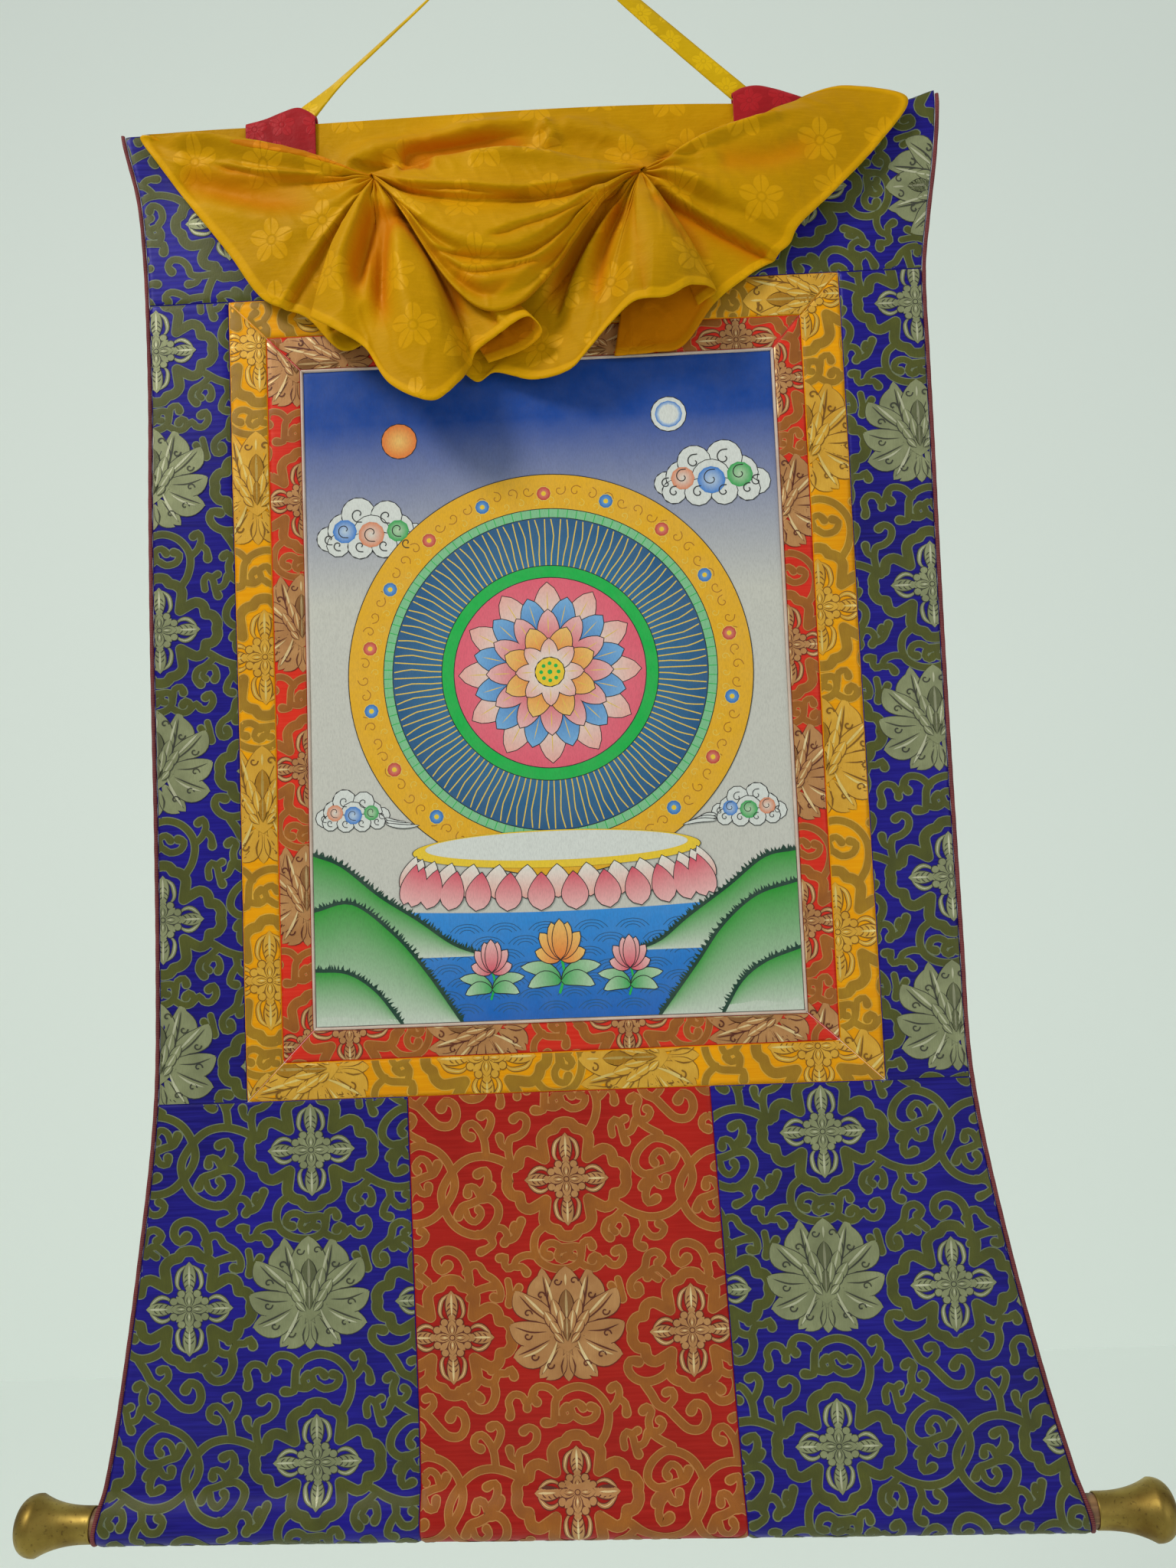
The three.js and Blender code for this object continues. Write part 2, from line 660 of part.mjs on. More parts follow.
function fanPoint({ gather, rows }) {
  return (across, down) => {
    const reach = THREE.MathUtils.lerp(fanStart, 1, down);
    const edgeX = spread(rows, across, 'x');
    const edgeZ = spread(rows, across, 'z');
    const out = THREE.MathUtils.lerp(gather.out, spread(rows, across, 'out'), reach);
    const swell = Math.sin(Math.PI * reach);
    const x = THREE.MathUtils.lerp(gather.x, edgeX, reach);
    const z = THREE.MathUtils.lerp(gather.z, edgeZ, reach);
    const bow = spread(rows, across, 'bow') * swell;
    const length = Math.hypot(edgeX - gather.x, edgeZ - gather.z);
    const acrossX = -(edgeZ - gather.z) / length;
    const acrossZ = (edgeX - gather.x) / length;
    const sign = acrossZ < 0 ? -1 : 1;
    return new THREE.Vector3(
      x + sign * acrossX * bow, -(out + spread(rows, across, 'belly') * swell), z + sign * acrossZ * bow,
    );
  };
}

// The middle of the veil: rows of cloth slung between the gathers, from the flat band along the
// head down over the pouch's folds and round under its tip. "sag" is the drop at the lowest
// point, "point" is 1 for a round sling and more for a pointed one, and the "out" columns are
// how far forwards the cloth lies at its left, in its middle and at its right.
const slingRows = [
  { left: -258, leftZ: -143.2, right: 246, rightZ: -146.5, sag: -1.4, point: 1, outLeft: 2.9, outMid: 2, outRight: 2.7 },
  { left: -240, leftZ: -152, right: 226, rightZ: -154, sag: -3, point: 1, outLeft: 2.5, outMid: 2, outRight: 2.4 },
  { left: -180, leftZ: -166, right: 165, rightZ: -168, sag: -9, point: 1, outLeft: 2, outMid: 2.4, outRight: 2.2 },
  { left: -122, leftZ: -181, right: 100, rightZ: -184, sag: -16, point: 1, outLeft: 4, outMid: 3.4, outRight: 8 },
  { left: -108, leftZ: -187, right: 80, rightZ: -191, sag: -17, point: 1, outLeft: 9, outMid: 6, outRight: 16 },
  { left: -104, leftZ: -188, right: 77, rightZ: -193, sag: -12, point: 1, outLeft: 18, outMid: 19, outRight: 20 },
  { left: -102, leftZ: -189, right: 75, rightZ: -194, sag: 6, point: 1, outLeft: 22, outMid: 26, outRight: 20 },
  { left: -101, leftZ: -190, right: 74, rightZ: -194, sag: 17, point: 1, outLeft: 22, outMid: 31, outRight: 20 },
  { left: -101, leftZ: -190, right: 74, rightZ: -195, sag: 22, point: 1, outLeft: 17, outMid: 25, outRight: 16 },
  { left: -100, leftZ: -191, right: 73, rightZ: -195, sag: 40, point: 1.1, outLeft: 22, outMid: 36, outRight: 19 },
  { left: -100, leftZ: -192, right: 72, rightZ: -195, sag: 56, point: 1.2, outLeft: 22, outMid: 38, outRight: 19 },
  { left: -99, leftZ: -193, right: 71, rightZ: -196, sag: 63, point: 1.3, outLeft: 18, outMid: 32, outRight: 17 },
  { left: -98, leftZ: -194, right: 70, rightZ: -196, sag: 77, point: 1.5, outLeft: 20, outMid: 37, outRight: 18 },
  { left: -97, leftZ: -195, right: 69, rightZ: -197, sag: 85, point: 1.5, outLeft: 17, outMid: 31, outRight: 16 },
  { left: -96, leftZ: -196, right: 68, rightZ: -197, sag: 93, point: 1.5, outLeft: 17, outMid: 31, outRight: 16 },
  { left: -95, leftZ: -196, right: 68, rightZ: -198, sag: 91, point: 1.5, outLeft: 12, outMid: 24, outRight: 14 },
];
const slingLowest = 0.45; // how far across the lowest point lies
const slingSteps = { across: 18, down: 34 };

function slingPoint(across, down) {
  const read = (column) => spread(slingRows, down, column);
  const bend = Math.log(0.5) / Math.log(slingLowest);
  const arch = Math.sin(Math.PI * across ** bend) ** read('point');
  const x = THREE.MathUtils.lerp(read('left'), read('right'), across);
  const z = THREE.MathUtils.lerp(read('leftZ'), read('rightZ'), across) - read('sag') * arch;
  const headShare = 1 - smooth(0, 1 / slingRows.length, down);
  const side = across < 0.5 ? read('outLeft') : read('outRight');
  const out = THREE.MathUtils.lerp(side, read('outMid'), Math.sin(Math.PI * across) ** 0.8);
  return new THREE.Vector3(x, -out, THREE.MathUtils.lerp(z, topEdge(x) - 0.4, headShare));
}

// Gives a surface its thickness along its own normals.
function thicken(surface, thickness, acrossSteps, downSteps) {
  const nudge = 1e-3;
  const side = (sign) => (across, down) => {
    const point = surface(across, down);
    const a = Math.min(across + nudge, 1);
    const b = Math.max(across - nudge, 0);
    const c = Math.min(down + nudge, 1);
    const d = Math.max(down - nudge, 0);
    const alongAcross = surface(a, down).sub(surface(b, down));
    const alongDown = surface(across, c).sub(surface(across, d));
    const normal = alongAcross.cross(alongDown).normalize();
    point.y -= wave(point.x, point.z);
    return point.addScaledVector(normal, sign * thickness / 2).toArray();
  };
  return gridSolid(side(1), side(-1), acrossSteps, downSteps);
}

function veilGeometry() {
  let solid = toSolid(thicken(slingPoint, veilThickness, slingSteps.across, slingSteps.down));
  for (const fan of Object.values(fans)) {
    solid = solid.add(toSolid(thicken(fanPoint(fan), veilThickness, fan.acrossSteps, fanRings)));
  }
  for (const gather of Object.values(gathers)) {
    const bunch = new THREE.SphereGeometry(bunchRadius, 10, 8);
    bunch.translate(gather.x, bunchRadius - gather.out - 1, gather.z);
    solid = solid.add(toSolid(bunch));
  }
  const parts = solid.decompose();
  parts.sort((one, other) => other.volume() - one.volume());
  return toGeometry(parts[0]);
}

scroll.add(piece('veil', veilGeometry(), cloth(colours.veil)));

export default scroll;
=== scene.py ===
# Looks of the thangka scroll: silk panels, woven brocade, painted canvas, veil, ribbon, rod and knobs.
# X right, Z up, the face looks along -Y. Lengths are worked out in millimetres and scaled to metres
# as each mesh is finished. "out" is forwards of the scroll's middle plane.

import math
import random

import bmesh
import bpy
from mathutils import Matrix, Vector, noise


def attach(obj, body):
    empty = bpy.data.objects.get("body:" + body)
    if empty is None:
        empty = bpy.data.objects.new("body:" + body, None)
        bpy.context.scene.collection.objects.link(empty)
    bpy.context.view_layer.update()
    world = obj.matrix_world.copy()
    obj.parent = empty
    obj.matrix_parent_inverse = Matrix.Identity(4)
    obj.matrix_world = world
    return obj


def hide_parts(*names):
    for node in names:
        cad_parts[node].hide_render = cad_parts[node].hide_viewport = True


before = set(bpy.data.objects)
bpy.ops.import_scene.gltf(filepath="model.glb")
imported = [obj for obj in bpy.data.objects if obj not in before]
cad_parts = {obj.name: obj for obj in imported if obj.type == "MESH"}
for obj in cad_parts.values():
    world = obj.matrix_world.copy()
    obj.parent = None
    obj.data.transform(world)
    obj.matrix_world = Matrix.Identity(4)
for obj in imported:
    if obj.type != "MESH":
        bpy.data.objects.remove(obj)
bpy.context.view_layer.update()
print("frame loaded")

mm = 0.001
headingFoot = -261
borderFoot = -787
gap = 0.3


def rows(names, *values):
    keys = names.split()
    return [dict(zip(keys, line)) for line in values]


# ---- The scroll's outline, seams and hang, the same as in its cut ----

scroll = {
    "bindingWidth": 2.6,
    "bindingGap": 0.35,
    "clothHalf": 0.9,
    "seamDip": 0.75,
    "seamWidth": 1.5,
    "puckerDepth": 0.22,
    "wrinkleDepth": 0.55,
}

sideEdges = rows(
    "z left right",
    (-1075, -302, 316),
    (-1041, -298, 309),
    (-989, -288, 296),
    (-888, -272, 274),
    (-787, -260, 258.5),
    (-700, -258, 257),
    (-520, -259.5, 257.5),
    (-320, -259, 259),
    (-261, -260, 260),
    (-225, -261.5, 265),
    (-186, -265, 271),
    (-150, -273, 274.5),
    (-130, -276, 274),
)
headingTop = rows(
    "x z",
    (-280, -145),
    (-240, -141.5),
    (-140, -140.5),
    (0, -138.5),
    (90, -139.5),
    (180, -144),
    (240, -147),
    (280, -138),
)
canvasCorners = [(-155, -312), (155, -312), (155, -742), (-155, -742)]
trimCorners = [(-156.6, -310.4), (156.6, -310.4), (156.6, -743.6), (-156.6, -743.6)]
redCorners = [(-179, -287), (175.5, -289), (176, -761.5), (-176.5, -763.5)]
goldCorners = [(-204, headingFoot), (202, headingFoot), (203, borderFoot), (-200, borderFoot)]
canvasLeft, canvasTop = canvasCorners[0]
canvasRight, canvasFoot = canvasCorners[2]
rodHeight = -1045.4
rodSink = 0.0128


def readTable(table, key, at, column):
    last = len(table) - 1
    index = 0
    while index < last - 1 and at > table[index + 1][key]:
        index += 1
    before = table[max(index - 1, 0)]
    low = table[index]
    high = table[index + 1]
    after = table[min(index + 2, last)]
    span = high[key] - low[key]
    share = min(max((at - low[key]) / span, 0), 1)
    lowSlope = (high[column] - before[column]) / (high[key] - before[key])
    highSlope = (after[column] - low[column]) / (after[key] - low[key])
    square = share * share
    cube = square * share
    return (
        (2 * cube - 3 * square + 1) * low[column]
        + (cube - 2 * square + share) * span * lowSlope
        + (3 * square - 2 * cube) * high[column]
        + (cube - square) * span * highSlope
    )


def numberRows(table):
    # numbers a table's rows, so that spread can read it
    for index, row in enumerate(table):
        row["index"] = index


def spread(table, share, column):
    # a column's value a share of the way down a numbered table
    return readTable(table, "index", share * (len(table) - 1), column)


def smooth(low, high, value):
    share = min(max((value - low) / (high - low), 0), 1)
    return share * share * (3 - 2 * share)


def mix(a, b, share):
    return a + (b - a) * share


def wave(x, z):
    below = 1 - smooth(-1000, -830, z)
    besideRod = smooth(-1030, -960, z)
    foot = 3 * math.sin((x + 60) / 34) * below * besideRod
    middle = 1.2 * math.sin((x - z) / 70) * smooth(-820, -700, z) * (1 - smooth(-420, -330, z))
    corner = 3.5 * smooth(240, 280, abs(x)) * smooth(-230, -150, z)
    return foot + middle + corner


def insideCanvas(x, z):
    return min(x - canvasLeft, canvasRight - x, canvasTop - z, z - canvasFoot)


def wrinkle(x, z):
    slow = noise.noise(Vector((x / 95, z / 130, 3.1)))
    quick = noise.noise(Vector((x / 31 + 5, z / 47, 8.4)))
    calm = smooth(-1030, -975, z)
    onCanvas = smooth(0, 14, insideCanvas(x, z))
    return scroll["wrinkleDepth"] * (slow + 0.45 * quick * (1 - onCanvas)) * calm * mix(1, 0.3, onCanvas)


def hang(x, z):
    return wave(x, z) + wrinkle(x, z)


def rodAxis(x):
    return rodHeight - rodSink * x


def leftEdge(z):
    return readTable(sideEdges, "z", z, "left") + scroll["bindingWidth"] + scroll["bindingGap"]


def rightEdge(z):
    return readTable(sideEdges, "z", z, "right") - scroll["bindingWidth"] - scroll["bindingGap"]


def topEdge(x):
    return readTable(headingTop, "x", x, "z")


def seamLine(topX, footX):
    return lambda z: topX + (footX - topX) * (borderFoot - z) / (borderFoot - rodHeight)


leftSeam = seamLine(-98, -96)
rightSeam = seamLine(93, 103)


def sideSeam(side, share):
    # where a side panel meets the border, share of the way from the heading down
    above, below = (0, 3) if side == "left" else (1, 2)
    return mix(goldCorners[above][0], goldCorners[below][0], share)


def sideShare(z):
    return (headingFoot - z) / (headingFoot - borderFoot)


# ---- The hem: down the face, round the rod and up the back to its stitching ----

hem = {"radius": 10.75, "rise": 24.5, "backGap": 1.9}


def hemLengths():
    meet = math.asin(hem["radius"] / hem["rise"])
    straight = math.sqrt(hem["rise"] ** 2 - hem["radius"] ** 2)
    return meet, straight, (math.pi + 2 * meet) * hem["radius"]


def hemPoint(run):
    # out and rise above the rod's axis, "run" mm down from where the cloth leaves its flat hang
    meet, straight, bend = hemLengths()
    radius = hem["radius"]
    if run <= straight:
        share = run / straight
        ease = smooth(0, 0.75, share)
        out = radius * math.cos(meet) * share * mix(0.25, 1, ease)
        return out, mix(hem["rise"], radius * math.sin(meet), share)
    if run <= straight + bend:
        angle = meet - (run - straight) / radius
        return radius * math.cos(angle), radius * math.sin(angle)
    share = min((run - straight - bend) / straight, 1)
    low = -radius * math.cos(meet)
    return mix(low, -hem["backGap"], share), mix(radius * math.sin(meet), hem["rise"], share)


def lowerLength(x):
    _, straight, bend = hemLengths()
    return borderFoot - rodAxis(x) - hem["rise"] + straight * 2 + bend


# ---- Cloth places: each panel's surface from its flat coordinates, x and the length down ----


def flatPlace(x, down, out):
    z = -down
    return Vector((x, -out - hang(x, z), z))


def lowerPlace(x, down, out):
    flat = borderFoot - rodAxis(x) - hem["rise"]
    run = down + borderFoot
    if run <= flat:
        return flatPlace(x, down, out)
    here, rise = hemPoint(run - flat)
    ahead, riseAhead = hemPoint(run - flat + 0.5)
    tangent = Vector((ahead - here, riseAhead - rise))
    if tangent.length < 1e-6:
        tangent = Vector((1, 2))
    tangent.normalize()
    lift = smooth(0, 9, run - flat)
    normal = Vector((mix(1, -tangent.y, lift), mix(0, tangent.x, lift)))
    z = rodAxis(x) + rise
    carried = hang(x, z) * (1 - smooth(0, 20, run - flat))
    return Vector((x, -(here + normal.x * out) - carried, z + normal.y * out))


# ---- Mesh helpers ----


def addPiece(name, bm, material, nodes=(), slotName=None):
    bmesh.ops.scale(bm, vec=(mm, mm, mm), verts=bm.verts)
    name = name.replace(" ", "-")
    mesh = bpy.data.meshes.new(name)
    bm.to_mesh(mesh)
    bm.free()
    mesh.polygons.foreach_set("use_smooth", [True] * len(mesh.polygons))
    mesh.materials.append(material)
    piece = bpy.data.objects.new(name, mesh)
    bpy.context.scene.collection.objects.link(piece)
    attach(piece, "root")
    if nodes:
        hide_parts(*nodes)
    return piece


def thickenCloth(piece, thickness, offset=0, even=True):
    solid = piece.modifiers.new("Cloth thickness", "SOLIDIFY")
    solid.thickness = thickness * mm
    solid.offset = offset
    solid.use_even_offset = even
    solid.use_quality_normals = True
    return solid


def crowd(share, edge):
    # packs the first and last tenth of the columns into the outermost "edge" of a strip
    band = 0.1
    if share < band:
        return edge * share / band
    if share > 1 - band:
        return 1 - edge * (1 - share) / band
    return mix(edge, 1 - edge, (share - band) / (1 - 2 * band))


def clothGrid(across, down, surface, flat, crowdAcross=None, crowdDown=None):
    bm = bmesh.new()
    uv = bm.loops.layers.uv.new("flat")
    bmesh.ops.create_grid(bm, x_segments=across, y_segments=down, size=0.5)
    spots = {}
    for vert in bm.verts:
        u = vert.co.x + 0.5
        v = 0.5 - vert.co.y
        if crowdAcross:
            u = crowd(u, crowdAcross)
        if crowdDown:
            v = crowd(v, crowdDown)
        spots[vert] = flat(u, v)
        vert.co = surface(u, v)
    for face in bm.faces:
        for loop in face.loops:
            x, y = spots[loop.vert]
            loop[uv].uv = (x * mm, y * mm)
    return bm


# ---- Materials ----


def newMaterial(name):
    material = bpy.data.materials.new(name)
    material.use_nodes = True
    tree = material.node_tree
    return material, tree, tree.nodes["Principled BSDF"]


def addNode(tree, kind, settings=(), **sockets):
    node = tree.nodes.new("ShaderNode" + kind)
    for name, value in dict(settings).items():
        setattr(node, name, value)
    for name, value in sockets.items():
        node.inputs[name].default_value = value
    return node


def objectSpot(tree, scale, turn=(0, 0, 0), uvName=None):
    # scale is one number, or one for each axis
    if uvName:
        spot = addNode(tree, "UVMap", {"uv_map": uvName}).outputs["UV"]
    else:
        spot = addNode(tree, "TexCoord").outputs["Object"]
    axes = scale if isinstance(scale, tuple) else (scale,) * 3
    mapping = addNode(tree, "Mapping", Scale=axes, Rotation=turn)
    tree.links.new(spot, mapping.inputs["Vector"])
    return mapping.outputs["Vector"]


def noiseAt(tree, scale, detail=3, turn=(0, 0, 0), distortion=0):
    node = addNode(tree, "TexNoise", Scale=1, Detail=detail, Roughness=0.55, Distortion=distortion)
    tree.links.new(objectSpot(tree, scale, turn), node.inputs["Vector"])
    return node.outputs["Fac"]


def mixColours(tree, factor, first, second):
    node = addNode(tree, "Mix", {"data_type": "RGBA"})
    for name, value in (("Factor", factor), ("A", first), ("B", second)):
        socket = next(s for s in node.inputs if s.name == name and (s.type == "RGBA" or name == "Factor"))
        if isinstance(value, bpy.types.NodeSocket):
            tree.links.new(value, socket)
        elif name == "Factor":
            socket.default_value = value
        else:
            socket.default_value = (*value[:3], 1)
    return next(s for s in node.outputs if s.type == "RGBA")


def stretch(tree, value, low, high, toLow=0.0, toHigh=1.0):
    limits = {"From Min": low, "From Max": high, "To Min": toLow, "To Max": toHigh}
    node = addNode(tree, "MapRange", {"clamp": True}, **limits)
    tree.links.new(value, node.inputs["Value"])
    return node.outputs["Result"]


def bumps(tree, shader, layers):
    normal = None
    for height, strength, distance in layers:
        node = addNode(tree, "Bump", Strength=strength, Distance=distance)
        tree.links.new(height, node.inputs["Height"])
        if normal:
            tree.links.new(normal, node.inputs["Normal"])
        normal = node.outputs["Normal"]
    tree.links.new(normal, shader.inputs["Normal"])


def finishShader(tree, shader, body, settings):
    # joins the body colour on and sets the plain inputs by name
    tree.links.new(body, shader.inputs["Base Color"])
    for name, value in settings.items():
        shader.inputs[name].default_value = value


def ribs(tree, perMetre, direction="Z", uvName=None):
    # weft ribs of the ground cloth: fine even lines
    bands = {"wave_type": "BANDS", "bands_direction": direction}
    node = addNode(tree, "TexWave", bands, Scale=1.0, Distortion=0.35)
    node.inputs["Detail"].default_value = 2
    scale = perMetre / 20
    tree.links.new(objectSpot(tree, scale, uvName=uvName), node.inputs["Vector"])
    return node.outputs["Fac"]


def satinCloth(name, colour, shade, light, roughness=0.4, sheen=0.08, tint=(1, 1, 1)):
    material, tree, shader = newMaterial(name)
    cloudy = stretch(tree, noiseAt(tree, (9, 9, 6), 4), 0.3, 0.7)
    body = mixColours(tree, cloudy, shade, colour)
    slubs = stretch(tree, noiseAt(tree, (24, 24, 620), 3), 0.42, 0.75)
    body = mixColours(tree, stretch(tree, slubs, 0, 1, 0, 0.42), body, light)
    gloss = stretch(tree, cloudy, 0, 1, roughness + 0.07, roughness - 0.05)
    tree.links.new(gloss, shader.inputs["Roughness"])
    finishShader(tree, shader, body, {
        "Specular IOR Level": 0.36, "Specular Tint": (*tint, 1),
        "Sheen Weight": sheen, "Sheen Roughness": 0.35, "Sheen Tint": (*tint, 1),
    })
    bumps(tree, shader, [
        (ribs(tree, 1500), 0.16, 0.0002),
        (noiseAt(tree, 60, 4), 0.16, 0.0012),
        (noiseAt(tree, 900, 2), 0.10, 0.0002),
    ])
    return material


def silkThread(name, colour, shade, roughness=0.5, metallic=0.0, twill=1800, relief=0.5):
    material, tree, shader = newMaterial(name)
    patchy = stretch(tree, noiseAt(tree, 55, 3), 0.3, 0.72)
    body = mixColours(tree, patchy, shade, colour)
    lines = noiseAt(tree, (twill, twill, twill * 0.12), 2, turn=(0, math.radians(52), 0))
    body = mixColours(tree, stretch(tree, lines, 0.35, 0.7, 0.45, 0), body, shade)
    finishShader(tree, shader, body, {
        "Roughness": roughness, "Metallic": metallic, "Sheen Weight": 0.04, "Specular IOR Level": 0.32,
    })
    bumps(tree, shader, [
        (lines, relief * 0.5, 0.0003),
        (noiseAt(tree, 1400, 2), relief * 0.4, 0.0003),
    ])
    return material


def plainCloth(name, colour, roughness=0.7):
    material, tree, shader = newMaterial(name)
    patchy = stretch(tree, noiseAt(tree, 30, 4), 0.3, 0.7)
    body = mixColours(tree, patchy, [c * 0.82 for c in colour], colour)
    finishShader(tree, shader, body, {"Roughness": roughness})
    bumps(tree, shader, [(noiseAt(tree, 700, 3), 0.2, 0.0003)])
    return material


blueSatin = satinCloth(
    "blue satin", (0.015, 0.009, 0.245), (0.007, 0.004, 0.115), (0.036, 0.03, 0.44), tint=(0.4, 0.4, 1)
)
redSatin = satinCloth(
    "red satin", (0.46, 0.013, 0.008), (0.3, 0.007, 0.005), (0.58, 0.03, 0.02), tint=(1, 0.45, 0.4)
)
innerRedSatin = satinCloth(
    "inner red satin", (0.74, 0.028, 0.012), (0.58, 0.018, 0.009), (0.86, 0.07, 0.035), tint=(1, 0.5, 0.45)
)
goldSatin = satinCloth(
    "orange gold satin", (0.92, 0.37, 0.003), (0.72, 0.26, 0.002), (0.98, 0.5, 0.012), 0.36,
    tint=(1, 0.75, 0.25),
)
# In each thread set the fourth is lighter thread with painted glints of the metal thread, and the fifth is
# dark outline thread with painted shade round the raised figures.
blueThreads = [
    silkThread("pale edge thread", (0.23, 0.26, 0.145), (0.13, 0.155, 0.085)),
    silkThread("olive scroll thread", (0.100, 0.107, 0.011), (0.06, 0.065, 0.007)),
    silkThread("silver gold thread", (0.34, 0.36, 0.19), (0.205, 0.22, 0.11), 0.45, 0.2),
    silkThread("bright silver thread and painted glint", (0.66, 0.66, 0.46), (0.42, 0.42, 0.27), 0.36, 0.3),
    silkThread("dark outline and shade thread", (0.07, 0.072, 0.036), (0.035, 0.036, 0.03)),
]
redThreads = [
    silkThread("peach edge thread", (0.62, 0.27, 0.075), (0.46, 0.18, 0.045)),
    silkThread("tan scroll thread", (0.42, 0.135, 0.011), (0.28, 0.08, 0.007)),
    silkThread("pale peach thread", (0.60, 0.31, 0.115), (0.42, 0.185, 0.06), 0.45, 0.15),
    silkThread("cream thread and painted glint", (0.92, 0.76, 0.42), (0.7, 0.46, 0.2), 0.36, 0.25),
    silkThread("russet outline and shade thread", (0.16, 0.035, 0.012), (0.09, 0.014, 0.006)),
]
goldThreads = [
    silkThread("amber edge thread", (0.80, 0.46, 0.05), (0.62, 0.3, 0.02)),
    silkThread("bronze scroll thread", (0.42, 0.225, 0.006), (0.3, 0.145, 0.004)),
    silkThread("straw thread", (0.82, 0.47, 0.055), (0.64, 0.32, 0.025), 0.42, 0.2),
    silkThread("pale straw thread and painted glint", (0.93, 0.74, 0.27), (0.72, 0.5, 0.13), 0.34, 0.3),
    silkThread("amber outline and shade thread", (0.27, 0.125, 0.006), (0.18, 0.07, 0.004)),
]
trimSilk = silkThread("pale cord silk", (0.76, 0.62, 0.52), (0.56, 0.42, 0.34), 0.55, 0, 1100, 0.8)


def gouache(name, colour, other=None, low=0.0, high=1.0):
    # matt paint on canvas; with a second colour it blends down the "flat" layer, or down the cloth
    material, tree, shader = newMaterial(name)
    body = colour
    if other:
        if low < 0:
            down = addNode(tree, "SeparateXYZ")
            tree.links.new(objectSpot(tree, 1), down.inputs[0])
            share = stretch(tree, down.outputs["Z"], high, low)
        else:
            down = addNode(tree, "SeparateXYZ")
            tree.links.new(objectSpot(tree, 1, uvName="flat"), down.inputs[0])
            share = stretch(tree, down.outputs["Y"], low, high)
        body = mixColours(tree, share, colour, other)
    worn = stretch(tree, noiseAt(tree, 60, 5), 0.35, 0.7)
    faded = mixColours(tree, 0.95, (0.5, 0.49, 0.44), body)
    body = mixColours(tree, worn, faded, body)
    threads = noiseAt(tree, (1500, 1500, 420), 2)
    body = mixColours(tree, stretch(tree, threads, 0.4, 0.75, 0, 0.16), body, (0.03, 0.03, 0.03))
    finishShader(tree, shader, body, {"Roughness": 0.62, "Specular IOR Level": 0.25})
    bumps(tree, shader, [
        (noiseAt(tree, (3, 3, 90), 3), 0.14, 0.0016),
        (threads, 0.22, 0.0003),
        (noiseAt(tree, 260, 3), 0.1, 0.0005),
    ])
    return material


canvasPaint = gouache("painted sky", (0.001, 0.055, 0.33), (0.60, 0.59, 0.53), -0.47, -0.35)


def bindingTape():
    # a ribbed tape, its whipping stitches crossing it every millimetre or so
    material, tree, shader = newMaterial("binding tape")
    worn = stretch(tree, noiseAt(tree, 40, 4), 0.3, 0.7)
    body = mixColours(tree, worn, (0.10, 0.014, 0.018), (0.20, 0.034, 0.038))
    stitches = ribs(tree, 5600, "Y", "flat")
    body = mixColours(tree, stretch(tree, stitches, 0.45, 0.95, 0, 0.5), body, (0.34, 0.10, 0.09))
    finishShader(tree, shader, body, {"Roughness": 0.6, "Specular IOR Level": 0.25})
    bumps(tree, shader, [(stitches, 0.5, 0.0004), (noiseAt(tree, 900, 3), 0.25, 0.0003)])
    return material


bindingSilk = bindingTape()


def damaskMask(tree, cell, petals, size):
    # scattered blossoms, white where the woven figure is: petals round the middle of each cell
    spot = objectSpot(tree, 1 / cell)
    flatSpot = addNode(tree, "VectorMath", {"operation": "MULTIPLY"})
    flatSpot.inputs[1].default_value = (1, 0, 1)
    tree.links.new(spot, flatSpot.inputs[0])
    cells = addNode(tree, "TexVoronoi", Scale=1.0, Randomness=0.45)
    tree.links.new(flatSpot.outputs[0], cells.inputs["Vector"])
    away = addNode(tree, "VectorMath", {"operation": "SUBTRACT"})
    tree.links.new(flatSpot.outputs[0], away.inputs[0])
    tree.links.new(cells.outputs["Position"], away.inputs[1])
    parts = addNode(tree, "SeparateXYZ")
    tree.links.new(away.outputs[0], parts.inputs[0])

    def maths(operation, *values):
        node = addNode(tree, "Math", {"operation": operation})
        for index, value in enumerate(values):
            if isinstance(value, bpy.types.NodeSocket):
                tree.links.new(value, node.inputs[index])
            else:
                node.inputs[index].default_value = value
        return node.outputs[0]

    angle = maths("ARCTAN2", parts.outputs["X"], parts.outputs["Z"])
    squares = [maths("POWER", parts.outputs[axis], 2) for axis in ("X", "Z")]
    radius = maths("SQRT", maths("ADD", *squares))
    lobes = maths("ABSOLUTE", maths("COSINE", maths("MULTIPLY", angle, petals / 2)))
    outer = maths("MULTIPLY", maths("ADD", maths("MULTIPLY", lobes, 0.45), 0.55), size)
    blossom = stretch(tree, maths("SUBTRACT", outer, radius), -0.01, 0.01)
    heart = stretch(tree, maths("SUBTRACT", radius, size * 0.24), -0.01, 0.01)
    veins = stretch(tree, maths("ABSOLUTE", maths("SINE", maths("MULTIPLY", angle, petals))), 0.12, 0.3)
    leaves = maths("MULTIPLY", blossom, maths("MULTIPLY", heart, veins))
    eye = stretch(tree, maths("SUBTRACT", size * 0.15, radius), -0.01, 0.01)
    return maths("MAXIMUM", leaves, eye), maths
